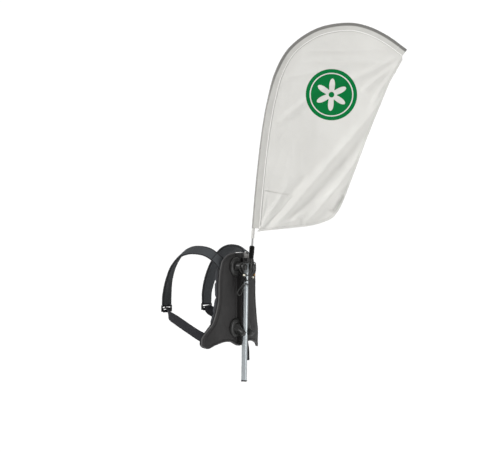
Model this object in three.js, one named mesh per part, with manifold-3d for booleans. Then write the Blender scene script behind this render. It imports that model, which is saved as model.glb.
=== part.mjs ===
// Backpack-worn teardrop flag: a moulded back shell with padded harness straps, four horns that
// hold an aluminium tube, a side socket on the tube's top, and a bent mast in a sleeved flag.
// Millimetres, +Z up, -Y out behind the wearer, +X towards the wearer's right hand.
// The origin is the centre of the back pad's flat face, where it lies on the wearer's back.
import * as THREE from 'three';
import { mergeVertices } from 'three/addons/utils/BufferGeometryUtils.js';
import Module from 'manifold-3d';

const wasm = await Module();
wasm.setup();

// ---- Driving dimensions -------------------------------------------------------------------
const gap = 0.3;                 // clearance between pieces that seat on each other

const shellTop = 200;            // height of the shell's upper edge above the origin
const shellDepth = 60;           // from the wearer's back to the shell's outer face
const shellWall = 4;
const waistHalf = 115;           // half width of the shell where its sides run straight
const shellWrap = 11;            // how far the sides wrap forward at that half width
const wrapPower = 3.5;

const padThick = 24;
const boardThick = 4;
const coreInset = 9;             // from the shell's edge in to the core's side
const boardInset = 24;
const padInset = 15;
const coreClearance = 1.5;      // the core's foam lies this far in from the shell's curved wall

const tubeRadius = 11;
const tubeWall = 1.5;
const tubeLow = -297;            // the tube's lower end, along its own axis
const tubeHigh = 160;
const tubeStandoff = 88;         // from the wearer's back to the tube's axis at the origin's height
const tubeTilt = 1.2 * Math.PI / 180;

const railWidth = 24;
const railLow = -150;
const railHigh = 160;
const railDepth = 21;

const hornSpacing = 51;          // between the axes of a left and a right horn
const hornRadius = 13;
const hornReach = 115;           // from the wearer's back to an upper horn's tip
const hornLowerReach = 106;
const hornUpper = 146;
const hornLower = -92;
const hornLowerDroop = 29 * Math.PI / 180;
const flangeRadius = 37;
const flangeThick = 9.5;

const boltRadius = 3;
const boltHeadRadius = 6;
const boltHeadThick = 3.8;

const holderOffset = 31.8;       // from the tube's line out to the mast's axis
const holderHeight = 203;
const mastLean = 4 * Math.PI / 180;
const flagHeading = -52 * Math.PI / 180;
const gripRadius = 10.3;
const gripFootRadius = 8.8;
const gripLength = 47;
const gripFoot = -24;            // the grip's lower end, along the mast's axis
const socketDepth = 36;
const bushWall = 1.8;
const stemRadius = 3.4;
const stemLength = 58;

const mastRadius = 4;
const mastTipRadius = 2.9;
const mastJoint = 572;           // height on the mast where its two rods meet
const ferruleLength = 44;
const sleeveWidth = 27;          // from the mast's line in to the sleeve's seam
const sleeveWall = 0.8;
const sleeveFoot = 94;
const cuffLength = 40;
const clothThick = 1.2;

const strapWidth = 55;
const strapThick = 10;
const webWidth = 38;
const webThick = 2;
const cordRadius = 2;

// ---- Materials ----------------------------------------------------------------------------
const make = (color, roughness, metalness = 0) =>
  new THREE.MeshStandardMaterial({ color, roughness, metalness });
const look = {
  shell: () => make(0x2f2f2e, 0.62),
  foam: () => make(0x1c1c1d, 0.95),
  board: () => make(0x232324, 0.6),
  mesh: () => make(0x27282a, 0.95),
  horn: () => make(0x1b1b1a, 0.35),
  steel: () => make(0x9a9a98, 0.35, 1),
  tube: () => make(0xc3cbcd, 0.3, 1),
  black: () => make(0x0e0e0f, 0.4),
  gloss: () => make(0x0a0a0b, 0.18),
  strap: () => make(0x2c2e31, 0.9),
  web: () => make(0x1d1d21, 0.85),
  mast: () => make(0x8b8c8c, 0.4, 0.2),
  cloth: () => make(0xdedcd6, 0.8),
  cuff: () => make(0xc8c7c3, 0.85),
  cord: () => make(0x141414, 0.8),
  bead: () => make(0xd8d5c6, 0.5),
  brass: () => make(0x9c7440, 0.35, 1),
};

// ---- Shape helpers ------------------------------------------------------------------------
function solid(geometry) {
  const bare = geometry.clone();
  bare.deleteAttribute('normal');
  bare.deleteAttribute('uv');
  const merged = mergeVertices(bare, 1e-4);
  return new wasm.Manifold(new wasm.Mesh({
    numProp: 3,
    vertProperties: new Float32Array(merged.attributes.position.array),
    triVerts: new Uint32Array(merged.index.array),
  }));
}

function geometryOf(body) {
  const mesh = body.getMesh();
  const geometry = new THREE.BufferGeometry();
  geometry.setAttribute('position', new THREE.BufferAttribute(mesh.vertProperties, 3));
  geometry.setIndex(new THREE.BufferAttribute(mesh.triVerts, 1));
  geometry.computeVertexNormals();
  return geometry;
}

const cut = (geometry, ...tools) =>
  geometryOf(tools.reduce((body, tool) => body.subtract(solid(tool)), solid(geometry)));

const join = (geometry, ...others) =>
  geometryOf(others.reduce((body, other) => body.add(solid(other)), solid(geometry)));

function piece(parent, name, geometry, material) {
  const mesh = new THREE.Mesh(geometry, material);
  mesh.name = name;
  parent.add(mesh);
  return mesh;
}

function box(lowX, highX, lowY, highY, lowZ, highZ) {
  return new THREE.BoxGeometry(highX - lowX, highY - lowY, highZ - lowZ)
    .translate((lowX + highX) / 2, (lowY + highY) / 2, (lowZ + highZ) / 2);
}

// A round body about +Z from [radius, height] pairs, given from its low end to its high end.
function turned(profile, sides = 24) {
  const points = profile.map(([radius, height]) => new THREE.Vector2(radius, height));
  return new THREE.LatheGeometry(points, sides).rotateX(Math.PI / 2);
}

function rod(radius, low, high, sides = 24) {
  return turned([[0, low], [radius, low], [radius, high], [0, high]], sides);
}

function pipe(inner, outer, low, high, sides = 24) {
  return turned([[inner, low], [outer, low], [outer, high], [inner, high], [inner, low]], sides);
}

// The body between two surfaces over the same patch: at(u, v) gives [x, z], and near and far
// give each surface's depth there, near being the one on the wearer's side.
function slab(columns, rows, at, near, far) {
  const position = [];
  const index = [];
  const count = (columns + 1) * (rows + 1);
  for (const depth of [far, near]) {
    for (let row = 0; row <= rows; row++) {
      for (let column = 0; column <= columns; column++) {
        const [x, z] = at(2 * column / columns - 1, row / rows);
        position.push(x, depth(x, z), z);
      }
    }
  }
  const id = (side, column, row) => side * count + row * (columns + 1) + column;
  const quad = (a, b, c, d) => index.push(a, b, c, a, c, d);
  for (let row = 0; row < rows; row++) {
    for (let column = 0; column < columns; column++) {
      const corners = side => [id(side, column, row), id(side, column + 1, row),
        id(side, column + 1, row + 1), id(side, column, row + 1)];
      quad(...corners(0));
      quad(...corners(1).reverse());
    }
  }
  for (let row = 0; row < rows; row++) {
    quad(id(0, 0, row + 1), id(1, 0, row + 1), id(1, 0, row), id(0, 0, row));
    quad(id(0, columns, row), id(1, columns, row), id(1, columns, row + 1), id(0, columns, row + 1));
  }
  for (let column = 0; column < columns; column++) {
    quad(id(0, column, 0), id(1, column, 0), id(1, column + 1, 0), id(0, column + 1, 0));
    quad(id(0, column + 1, rows), id(1, column + 1, rows), id(1, column, rows), id(0, column, rows));
  }
  const geometry = new THREE.BufferGeometry();
  geometry.setAttribute('position', new THREE.Float32BufferAttribute(position, 3));
  geometry.setIndex(index);
  geometry.computeVertexNormals();
  return geometry;
}

// A flat band that follows a line of stations, each a place and the way its outer face looks.
function band(stations, width, thick, steps) {
  const line = new THREE.CatmullRomCurve3(stations.map(s => new THREE.Vector3(...s.at)));
  const faces = new THREE.CatmullRomCurve3(stations.map(s => new THREE.Vector3(...s.face)));
  const position = [];
  for (let step = 0; step <= steps; step++) {
    const along = line.getTangent(step / steps);
    const across = faces.getPoint(step / steps).cross(along).normalize().multiplyScalar(width / 2);
    const out = along.clone().cross(across).normalize().multiplyScalar(thick / 2);
    const centre = line.getPoint(step / steps);
    for (const [side, face] of [[-1, -1], [1, -1], [1, 1], [-1, 1]]) {
      const corner = centre.clone().addScaledVector(across, side).addScaledVector(out, face);
      position.push(corner.x, corner.y, corner.z);
    }
  }
  const index = [0, 2, 1, 0, 3, 2];
  for (let step = 0; step < steps; step++) {
    for (let side = 0; side < 4; side++) {
      const next = (side + 1) % 4;
      const low = step * 4;
      index.push(low + side, low + next, low + 4 + next, low + side, low + 4 + next, low + 4 + side);
    }
  }
  const last = steps * 4;
  index.push(last, last + 1, last + 2, last, last + 2, last + 3);
  const geometry = new THREE.BufferGeometry();
  geometry.setAttribute('position', new THREE.Float32BufferAttribute(position, 3));
  geometry.setIndex(index);
  geometry.computeVertexNormals();
  return geometry;
}

const mirrored = stations => stations.map(({ at, face }) =>
  ({ at: [-at[0], at[1], at[2]], face: [-face[0], face[1], face[2]] }));

function ring(outer, inner, sides) {
  const shape = new THREE.Shape();
  shape.absarc(0, 0, outer, 0, 2 * Math.PI);
  if (inner > 0) {
    const hole = new THREE.Path();
    hole.absarc(0, 0, inner, 0, 2 * Math.PI, true);
    shape.holes.push(hole);
  }
  return { shape, curveSegments: sides / 2 };
}

// A shape carried along a line; the shape's second axis points to the inside of the mast's bend.
function carried(shape, path, steps, curveSegments = 4) {
  return new THREE.ExtrudeGeometry(shape, {
    steps, extrudePath: path, bevelEnabled: false, curveSegments,
  });
}

function cordAlong(points, radius, step, sides = 8) {
  const path = new THREE.CatmullRomCurve3(points.map(p => new THREE.Vector3(...p)));
  const { shape, curveSegments } = ring(radius, 0, sides);
  return carried(shape, path, Math.ceil(path.getLength() / step), curveSegments);
}

// ---- Back shell and what it is built on -----------------------------------------------------
// The outline's half width by height, from the wing tips up to the shoulder corners.
const sideLine = new THREE.SplineCurve([[178, -160], [176, -132], [163, -106], [142, -76],
  [129, -38], [waistHalf + 2, 20], [waistHalf, 95], [waistHalf - 6, 140], [waistHalf - 13, 166]]
  .map(([half, height]) => new THREE.Vector2(half, height)));
// The lower edge's height by share of the half width: a middle lobe, an arch and a wing tip.
const lowerLine = new THREE.SplineCurve([[0, -163], [0.12, -159], [0.28, -148], [0.5, -147],
  [0.72, -158], [0.88, -172], [1, -160]].map(([share, height]) => new THREE.Vector2(share, height)));
const cornerDrop = 34;           // how much lower the shoulder corners are than the top's middle

function onLine(line, wanted, axis) {
  let low = 0;
  let high = 1;
  for (let turn = 0; turn < 30; turn++) {
    const middle = (low + high) / 2;
    const rising = line.getPoint(middle)[axis] < wanted;
    if (rising) low = middle; else high = middle;
  }
  return line.getPoint((low + high) / 2);
}

// A place on the outline's patch, drawn in from every edge by an inset.
function outlineAt(inset, widest = Infinity) {
  const sideLow = lowerLine.getPoint(1).y;
  const sideHigh = shellTop - cornerDrop;
  const wingHalf = sideLine.getPoint(0).x;
  return (u, v) => {
    const share = Math.abs(u);
    const half = Math.min(onLine(sideLine, sideLow + (sideHigh - sideLow) * v, 'y').x, widest + inset);
    const lowShare = widest < wingHalf ? share * (half - inset) / wingHalf : share;
    const low = onLine(lowerLine, lowShare, 'x').y + inset;
    const high = shellTop - cornerDrop * share ** 3.5 - inset;
    return [u * (half - inset), low + (high - low) * v];
  };
}

const topLean = z => z > 150 ? 8 * ((z - 150) / 50) ** 2 : 0;
const shellOuter = (x, z) => -shellDepth + shellWrap * (Math.abs(x) / waistHalf) ** wrapPower + topLean(z);
const shellInner = (x, z) => shellOuter(x, z) + shellWall;

const hornPlaces = [
  { name: 'upper_left', side: -1, height: hornUpper, droop: 0, tip: hornReach },
  { name: 'upper_right', side: 1, height: hornUpper, droop: 0, tip: hornReach },
  { name: 'lower_left', side: -1, height: hornLower, droop: hornLowerDroop, tip: hornLowerReach },
  { name: 'lower_right', side: 1, height: hornLower, droop: hornLowerDroop, tip: hornLowerReach },
];

const hornBase = -shellDepth - gap;
const boltTip = hornBase - 7.5;

// A straight body out through the shell at a horn's bolt, between two depths.
function boltHole(horn, radius, near, far) {
  return rod(radius, 0, near - far, 16).rotateX(Math.PI / 2)
    .translate(horn.side * hornSpacing / 2, near, horn.height);
}

// ---- Straps ---------------------------------------------------------------------------------
const strapEnd = -6;             // height of the shoulder strap's lower end on the chest
const buckleDepth = 203;
const shoulderLeft = [
  { at: [-78, -40, shellTop - 54], face: [-0.1, -0.95, 0.3] },
  { at: [-91, -35, shellTop - 35], face: [-0.15, -0.88, 0.45] },
  { at: [-107, -18.5, shellTop - 13], face: [-0.3, -0.6, 0.75] },
  { at: [-118, 8, shellTop + 4], face: [-0.45, -0.2, 0.87] },
  { at: [-125, 48, shellTop + 11], face: [-0.5, 0, 0.86] },
  { at: [-129, 86, shellTop + 8], face: [-0.5, 0.12, 0.85] },
  { at: [-132, 122, shellTop - 8], face: [-0.42, 0.5, 0.75] },
  { at: [-133, 162, shellTop - 52], face: [-0.3, 0.87, 0.4] },
  { at: [-130, 188, 92], face: [-0.2, 0.97, 0.15] },
  { at: [-126, 201, 38], face: [-0.05, 0.99, 0.05] },
  { at: [-126, buckleDepth, strapEnd], face: [0, 1, 0] },
];
const webbingLeft = [
  { at: [-126, 198, -15], face: [0, 1, 0] },
  { at: [-127.5, 196.5, -27], face: [-0.12, 1, 0] },
  { at: [-143, 176, -45], face: [-0.75, 0.65, 0] },
  { at: [-153, 132, -64], face: [-1, 0.1, 0] },
  { at: [-160, 76, -90], face: [-1, 0, 0] },
  { at: [-165, 26, -113], face: [-1, -0.05, 0] },
  { at: [-163, -4, -127], face: [-0.85, -0.5, 0] },
  { at: [-152, -20.5, -138], face: [-0.62, -0.78, 0] },
];
const tailStations = [
  { at: [62, -44, -128], face: [0, -1, 0] },
  { at: [62, -45, -152], face: [0, -1, 0.1] },
  { at: [63, -49, -178], face: [0, -1, 0.1] },
  { at: [63, -52, -222], face: [0.1, -1, 0] },
];
const pocketed = (stations, width, thick, steps) => band(stations, width + 2 * gap, thick + 2 * gap, steps);

function harness() {
  const group = new THREE.Group();
  const core = outlineAt(coreInset, 128);
  const pad = outlineAt(padInset, 122);
  const boardBack = -padThick - gap;
  const coreFront = boardBack - boardThick - gap;

  const shellHoles = hornPlaces.map(horn => boltHole(horn, boltRadius + gap, 0, -shellDepth - 5));
  const straps = [shoulderLeft, mirrored(shoulderLeft)];

  piece(group, 'back_shell',
    cut(slab(28, 14, outlineAt(0), shellInner, shellOuter), ...shellHoles), look.shell());
  const runs = pipingRuns();
  piece(group, 'rim_piping_lower', rimPiping(runs.lower), look.black());
  piece(group, 'rim_piping_upper', rimPiping(runs.upper), look.black());
  piece(group, 'core_block',
    cut(slab(16, 9, core, () => coreFront, (x, z) => shellInner(x, z) + coreClearance),
      ...shellHoles, ...straps.map(s => pocketed(s, strapWidth, strapThick, 30)),
      pocketed(tailStations, 22, 1.8, 8)), look.foam());
  piece(group, 'frame_board',
    cut(slab(16, 9, outlineAt(boardInset, 112), () => boardBack, () => boardBack - boardThick), ...shellHoles), look.board());
  piece(group, 'back_pad',
    cut(slab(16, 8, pad, () => 0, () => -padThick),
      ...hornPlaces.map(horn => boltHole(horn, boltHeadRadius + 1, -padThick + boltHeadThick + 1, -padThick - 1))),
    look.mesh());
  piece(group, 'spine_rail', spineRail(), look.shell());
  for (const horn of hornPlaces) {
    piece(group, `horn_${horn.name}`, hornBody(horn), look.horn());
    piece(group, `horn_bolt_${horn.name}`, hornBolt(horn, boardBack), look.steel());
  }
  for (const [side, sign] of [['left', -1], ['right', 1]]) {
    const place = stations => sign < 0 ? stations : mirrored(stations);
    piece(group, `shoulder_strap_${side}`, band(place(shoulderLeft), strapWidth, strapThick, 30), look.strap());
    piece(group, `lower_webbing_${side}`, band(place(webbingLeft), webWidth, webThick, 24), look.web());
    piece(group, `strap_adjuster_${side}`, adjuster(sign), look.black());
  }
  piece(group, 'webbing_tail', band(tailStations, 22, 1.8, 8), look.web());
  return group;
}

// The edge binding: a round bead just in front of the shell's edge, in two runs that stop at
// the shoulder straps. Each run is a list of [u, v] places on the outline's patch.
const pipingRadius = 2.4;
const pipingClearance = 1.1;
const strapFoot = 0.86;          // share of the side's height where the lower run stops
const strapInner = 0.48;         // share of the half width where the upper run stops
function rimPiping(run) {
  const at = outlineAt(pipingRadius + 0.2);
  const centres = run.map(([u, v]) => {
    const [x, z] = at(u, v);
    return [x, shellInner(x, z) + pipingRadius + pipingClearance, z];
  });
  return cordAlong(centres, pipingRadius, 13, 6);
}

function pipingRuns() {
  const shares = (from, to, count) => Array.from({ length: count + 1 }, (_, i) => from + (to - from) * i / count);
  const lower = [...shares(strapFoot, 0, 9).map(v => [-1, v]),
    ...shares(-1, 1, 22).slice(1).map(u => [u, 0]), ...shares(0, strapFoot, 9).slice(1).map(v => [1, v])];
  return { lower, upper: shares(-strapInner, strapInner, 8).map(u => [u, 1]) };
}

// The raised rail down the shell's middle, hollowed along its crest to bed the tube.
function spineRail() {
  const crest = hornBase - railDepth;
  const groove = rod(tubeRadius + gap, railLow - 30, railHigh + 30, 48)
    .rotateX(tubeTilt).translate(0, -tubeStandoff, 0);
  return cut(box(-railWidth / 2, railWidth / 2, crest, hornBase, railLow, railHigh), groove);
}

// One horn: a round flange trimmed beside the rail, and a peg with a rounded tip.
function hornBody(horn) {
  const reach = (horn.tip + hornBase) / Math.cos(horn.droop);
  const tip = hornRadius * 0.55;
  const peg = turned([[0, 0], [hornRadius + 2.5, 0], [hornRadius + 2.5, flangeThick],
    [hornRadius + 0.6, flangeThick + 4], [hornRadius, flangeThick + 12], [hornRadius - 0.8, reach - tip],
    [hornRadius - 2.2, reach - tip * 0.5], [hornRadius * 0.55, reach - 1], [0, reach]], 20);
  const flange = turned([[0, 0], [flangeRadius, 0], [flangeRadius, flangeThick * 0.4],
    [flangeRadius - 3, flangeThick * 0.8], [flangeRadius - 9, flangeThick], [0, flangeThick]], 28);
  const outward = geometry => geometry.rotateX(Math.PI / 2);
  const body = join(outward(flange), outward(peg).rotateX(horn.droop))
    .translate(horn.side * hornSpacing / 2, hornBase, horn.height);
  const keptFrom = railWidth / 2 + gap;
  const railSide = horn.side < 0
    ? box(-keptFrom, 200, -300, 100, -500, 500)
    : box(-200, keptFrom, -300, 100, -500, 500);
  const shellSide = box(-300, 300, hornBase, 100, -500, 500);
  return cut(body, railSide, shellSide, boltHole(horn, boltRadius + gap, 0, boltTip - gap));
}

function hornBolt(horn, boardBack) {
  const head = boardBack + gap;
  const length = head - boltTip;
  return turned([[0, -boltHeadThick], [boltHeadRadius, -boltHeadThick], [boltHeadRadius, 0],
    [boltRadius, 0], [boltRadius, length], [0, length]], 16)
    .rotateX(Math.PI / 2).translate(horn.side * hornSpacing / 2, head, horn.height);
}

// The two-slot buckle where the shoulder strap meets the lower webbing on the chest.
const buckleThick = 5;
const buckleHigh = 26;
const adjusterTop = strapEnd - 2 * gap;
function adjuster(sign) {
  const half = buckleThick / 2;
  const barTop = rod(half, -31, 31, 16).rotateY(Math.PI / 2).translate(0, 0, -half);
  const outer = join(box(-31, 31, -half, half, -buckleHigh, -half), barTop);
  const upper = box(-26, 26, -10, 10, -11, -5);
  const lower = box(-21, 21, -10, 10, -21, -15);
  return cut(outer, upper, lower).translate(sign * 126, buckleDepth, adjusterTop);
}

// ---- Tube -----------------------------------------------------------------------------------
const neckRadius = 6.5;
const neckTop = tubeHigh + 20;
const studTop = neckTop + 24;
function tubeGroup() {
  const group = new THREE.Group();
  const bore = tubeRadius - tubeWall;
  piece(group, 'tube_pole', pipe(bore, tubeRadius, tubeLow, tubeHigh, 32), look.tube());
  piece(group, 'tube_end_cap', turned([[0, tubeLow - 5], [tubeRadius, tubeLow - 5],
    [tubeRadius + 1.2, tubeLow - 3.5], [tubeRadius + 1.2, tubeLow - gap], [bore - gap, tubeLow - gap],
    [bore - gap - 0.6, tubeLow + 22], [0, tubeLow + 22]], 24), look.black());
  piece(group, 'tube_top_plug', turned([[0, tubeHigh - 24], [bore - gap, tubeHigh - 24],
    [bore - gap, tubeHigh + gap], [tubeRadius, tubeHigh + gap], [tubeRadius, tubeHigh + 3],
    [neckRadius, tubeHigh + 5], [neckRadius, neckTop], [boltRadius, neckTop], [boltRadius, studTop],
    [0, studTop]], 20), look.black());
  return group;
}

// ---- Mast holder ------------------------------------------------------------------------------
const headHeight = 18.7;
const headRadius = 9.75;
const headLow = neckTop + gap;

// The mast's own frame: +Z along the mast, +X along the flag from the mast to its free edge.
function mastFrame() {
  const group = new THREE.Group();
  group.position.set(0, -tubeStandoff - holderOffset, holderHeight);
  group.rotation.set(0, mastLean, flagHeading, 'ZYX');
  group.updateMatrix();
  return group;
}

function gripProfile(grow) {
  const high = gripFoot + gripLength;
  return [[0, gripFoot], [gripFootRadius - 1.5 + grow, gripFoot], [gripFootRadius + grow, gripFoot + 2],
    [gripRadius - 0.9 + grow, gripFoot + 14], [gripRadius + grow, high - 9],
    [gripRadius + grow, high - 3], [gripRadius - 2 + grow, high], [0, high]];
}

function holderHead() {
  const inTube = new THREE.Matrix4().makeRotationX(tubeTilt).setPosition(0, -tubeStandoff, 0);
  const head = pipe(boltRadius + gap, headRadius, headLow, headLow + headHeight, 24);
  const arm = box(-5, 5, -holderOffset + 1, -headRadius + 2.5, headLow + 1.5, headLow + 14.5);
  const grip = turned(gripProfile(gap), 24).applyMatrix4(mastFrame().matrix);
  return cut(join(head, arm).applyMatrix4(inTube), grip);
}

function headNut() {
  const low = headLow + headHeight + gap;
  const body = turned([[0, low], [6.2, low], [6.2, low + 3.5], [4.6, low + 6.2], [0, low + 7.4]], 6);
  return cut(body, rod(boltRadius + gap, low - 1, studTop + gap, 16));
}

function holder() {
  const group = mastFrame();
  const high = gripFoot + gripLength;
  const bore = mastRadius + gap + bushWall + gap;
  piece(group, 'mast_grip', cut(turned(gripProfile(0), 24), rod(bore, high - socketDepth, high + 5, 20),
    rod(stemRadius + gap, gripFoot - 1, gripFoot + 8, 16)), look.gloss());
  piece(group, 'holder_stem', turned([[0, gripFoot - stemLength], [stemRadius - 1, gripFoot - stemLength],
    [stemRadius, gripFoot - stemLength + 1.5], [stemRadius, gripFoot + 8 - gap], [0, gripFoot + 8 - gap]]),
    look.steel());
  return group;
}

// ---- Mast and flag ----------------------------------------------------------------------------
const gripTop = gripFoot + gripLength;
const socketFloor = gripTop - socketDepth + gap;
const mastFoot = socketFloor + 2 + gap;
// The mast's centre line in its own frame: straight through the socket, then bending over.
const mastLine = new THREE.CatmullRomCurve3([[0, mastFoot], [0, 90], [2, 237], [6.5, 375], [13.5, 493],
  [24.5, 592], [46, 702], [84.5, 788], [136, 843.5], [203, 886], [280, 908], [342, 912], [404, 899.5],
  [472, 870], [545, 824.5]].map(([out, up]) => new THREE.Vector3(out, 0, up)));
const mastLength = mastLine.getLength();
const jointShare = (mastJoint - mastFoot) / mastLength;

function mastStretch(from, to, count = 24) {
  const points = [];
  for (let i = 0; i <= count; i++) points.push(mastLine.getPointAt(from + (to - from) * i / count));
  return new THREE.CatmullRomCurve3(points);
}

// The sleeve's section: round about the mast at its outer edge, flat at the seam. A section that
// is shrunk is the hollow inside, and runs the other way round.
function sleeveShape(grow) {
  const seam = sleeveWidth + grow;
  const round = mastRadius + 2.2 + grow;
  const flat = 1.1 + Math.max(grow, -0.5);
  const side = grow < 0 ? -1 : 1;
  const path = grow < 0 ? new THREE.Path() : new THREE.Shape();
  path.moveTo(side * flat, seam);
  path.lineTo(side * round * 0.8, 11);
  path.lineTo(side * round, 1);
  path.absarc(0, 0, round, grow < 0 ? Math.PI : 0, grow < 0 ? 2 * Math.PI : -Math.PI, grow >= 0);
  path.lineTo(-side * round, 1);
  path.lineTo(-side * round * 0.8, 11);
  path.lineTo(-side * flat, seam);
  path.closePath();
  return path;
}

const pocketLength = 34;
const pocketShare = pocketLength / mastLength;
const sleeveStart = (sleeveFoot - mastFoot) / mastLength;
const sleeveSteps = 36;

function flagSleeve() {
  const shape = sleeveShape(0);
  shape.holes.push(sleeveShape(-sleeveWall));
  return carried(shape, mastStretch(sleeveStart, 1 - pocketShare, 72), sleeveSteps, 3);
}

function sleeveEnd() {
  const shape = sleeveShape(0);
  const start = 1 - pocketShare + 2 * gap / mastLength;
  const body = carried(shape, mastStretch(start, 1, 8), 4, 3);
  const hollow = carried(ring(mastTipRadius + 2 * gap + 0.6, 0, 16).shape, mastStretch(start - 0.004, 0.985, 8), 4, 5);
  return cut(body, hollow);
}

// A point a set distance in from the mast's line, on the flag's side.
function inFrom(share, distance) {
  const at = mastLine.getPointAt(share);
  const along = mastLine.getTangentAt(share);
  return new THREE.Vector2(at.x + along.z * distance, at.z - along.x * distance);
}

// The flag's free edge from the tip down, round the lower corner and back to the mast.
const freeEdge = [[533, 789], [511, 740], [490, 696.5], [452, 584], [414, 465.5], [376, 335.5], [340, 219],
  [319, 175], [292, 147], [227, 120.5], [135, 103], [65, 91], [14, 81]]
  .map(([out, up]) => new THREE.Vector2(out, up));
const seamGap = 0.4;

function panelOutline() {
  const seam = [];
  for (let i = 0; i <= sleeveSteps; i++) {
    const share = sleeveStart + (1 - pocketShare - sleeveStart) * i / sleeveSteps;
    seam.push(inFrom(share, sleeveWidth + seamGap));
  }
  seam.push(inFrom(1 - pocketShare / 2, sleeveWidth + seamGap));
  const free = new THREE.SplineCurve(freeEdge).getPoints(48);
  return [...seam, ...free];
}

// A flat piece of cloth from an outline of [out, up] places, centred on the mast's plane.
function clothPiece(outline, thick, offset = 0) {
  return new THREE.ExtrudeGeometry(new THREE.Shape(outline), { depth: thick, bevelEnabled: false })
    .rotateX(Math.PI / 2).translate(0, thick / 2 + offset, 0);
}

function cornerPatch() {
  const outline = [[31.5, 247], [146, 233], [98, 166], [44, 107], [29.5, 98]]
    .map(([out, up]) => new THREE.Vector2(out, up));
  return clothPiece(outline.reverse(), 0.6, -clothThick / 2 - gap - 0.3);
}

function mast() {
  const group = mastFrame();
  const lowerEnd = jointShare - 0.6 / mastLength;
  const upperStart = jointShare + 0.6 / mastLength;
  const tipShare = 0.98;
  const rodShape = radius => ring(radius, 0, 16).shape;
  piece(group, 'socket_bush', turned([[0, socketFloor], [mastRadius + gap + bushWall, socketFloor],
    [mastRadius + gap + bushWall, gripTop], [mastRadius + gap + bushWall + 2, gripTop + gap],
    [mastRadius + gap + bushWall + 2, gripTop + 2], [mastRadius + gap, gripTop + 2],
    [mastRadius + gap, socketFloor + 2], [0, socketFloor + 2]], 20), look.black());
  piece(group, 'mast_lower', carried(rodShape(mastRadius), mastStretch(0, lowerEnd), 12, 6), look.mast());
  const half = ferruleLength / 2 / mastLength;
  const ferrule = new THREE.Shape();
  ferrule.absarc(0, 0, mastRadius + gap + 0.7, 0, 2 * Math.PI);
  ferrule.holes.push(ring(mastRadius + gap, 0, 16).shape);
  piece(group, 'mast_ferrule', carried(ferrule, mastStretch(jointShare - half, jointShare + half, 6), 3, 6),
    look.steel());
  const taper = mastStretch(upperStart, tipShare, 40);
  piece(group, 'mast_upper', carried(rodShape(mastTipRadius + 0.3), taper, 30, 5), look.mast());
  piece(group, 'mast_tip_cap', carried(rodShape(mastTipRadius + 0.5),
    mastStretch(tipShare + gap / mastLength, 0.984, 3), 2, 6), look.black());
  piece(group, 'sleeve_cuff', pipe(mastRadius + gap, mastRadius + gap + 2.2, sleeveFoot - gap - cuffLength,
    sleeveFoot - gap, 20), look.cuff());
  piece(group, 'flag_sleeve', flagSleeve(), look.cloth());
  piece(group, 'sleeve_end', sleeveEnd(), look.cuff());
  piece(group, 'flag_panel', clothPiece(panelOutline(), clothThick), look.cloth());
  piece(group, 'corner_patch', cornerPatch(), look.cloth());
  return group;
}

// ---- Lashing ----------------------------------------------------------------------------------
const lockAt = [-30, -106, 98];
const innerLash = [[-40.9, -92, 148], [-38, -95, 160], [-19, -104, 165], [0, -107.6, 165],
  [19, -104, 165], [38, -95, 160], [40.9, -92, 146], [38, -95, 130], [19, -104, 117], [0, -107, 112],
  [-19, -104, 117], [-38, -95, 130], [-40.9, -92, 144]];
const outerLash = [[-30, -106, 107.5], [-30, -106, 116], [-31, -106.5, 123], [-38, -108.5, 131],
  [-40.3, -108, 143], [-37, -109, 158], [-20, -117, 162], [0, -126, 159], [20, -117, 162], [37, -109, 158],
  [40.3, -108, 144], [38, -108, 126], [22, -108, 104], [0, -107.5, 92], [-14, -106, 94], [-22.4, -106, 97]];
const slackCord = [[-30, -106, 88.5], [-31, -104.5, 80], [-37, -98.5, 69.5], [-44, -91, 58],
  [-46.8, -87, 47], [-43.6, -86, 38.6], [-35.6, -86.4, 34.8], [-27.6, -88, 38.6], [-24.4, -91, 47.5],
  [-24.2, -95, 58], [-23.6, -99, 69], [-19.6, -101.8, 77.6], [-11.5, -104.2, 80.6], [-3.5, -106.2, 76],
  [2.5, -106.8, 67.5], [8, -105.4, 58]];

function stretchOf(points, from, to) {
  const path = new THREE.CatmullRomCurve3(points.map(p => new THREE.Vector3(...p)));
  const part = [];
  for (let i = 0; i <= 4; i++) part.push(path.getPointAt(from + (to - from) * i / 4));
  return new THREE.CatmullRomCurve3(part);
}

function crimp(points, from, to, outer) {
  const { shape } = ring(outer, cordRadius + gap, 12);
  return carried(shape, stretchOf(points, from, to), 3, 6);
}

function lashing() {
  const group = new THREE.Group();
  piece(group, 'lash_cord_inner', cordAlong(innerLash, cordRadius, 8), look.cord());
  piece(group, 'lash_cord_outer', cordAlong(outerLash, cordRadius, 8), look.cord());
  piece(group, 'slack_cord', cordAlong(slackCord, cordRadius, 7), look.cord());
  const [x, y, z] = lockAt;
  const body = box(x - 7, x + 7, y - 6, y + 6, z - 9, z + 9);
  const bore = rod(4.5, -9, 0, 20).rotateX(Math.PI / 2).translate(x, y - 6.5, z);
  piece(group, 'cord_lock_body', cut(body, bore.translate(0, 0.5, 0)), look.black());
  piece(group, 'cord_lock_button', rod(4.1, 0, 8.5, 20).rotateX(Math.PI / 2).translate(x, y - 1.2, z), look.black());
  piece(group, 'lash_bead_left', cut(new THREE.SphereGeometry(4.6, 12, 8).translate(x, y, z + 16),
    rod(cordRadius + 2 * gap, z, z + 40, 12).translate(x, y, 0)), look.bead());
  piece(group, 'lash_crimp', crimp(outerLash, 0.735, 0.77, cordRadius + 1.8), look.brass());
  piece(group, 'lash_bead_right', crimp(outerLash, 0.79, 0.815, cordRadius + 2.2), look.bead());
  return group;
}

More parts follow.
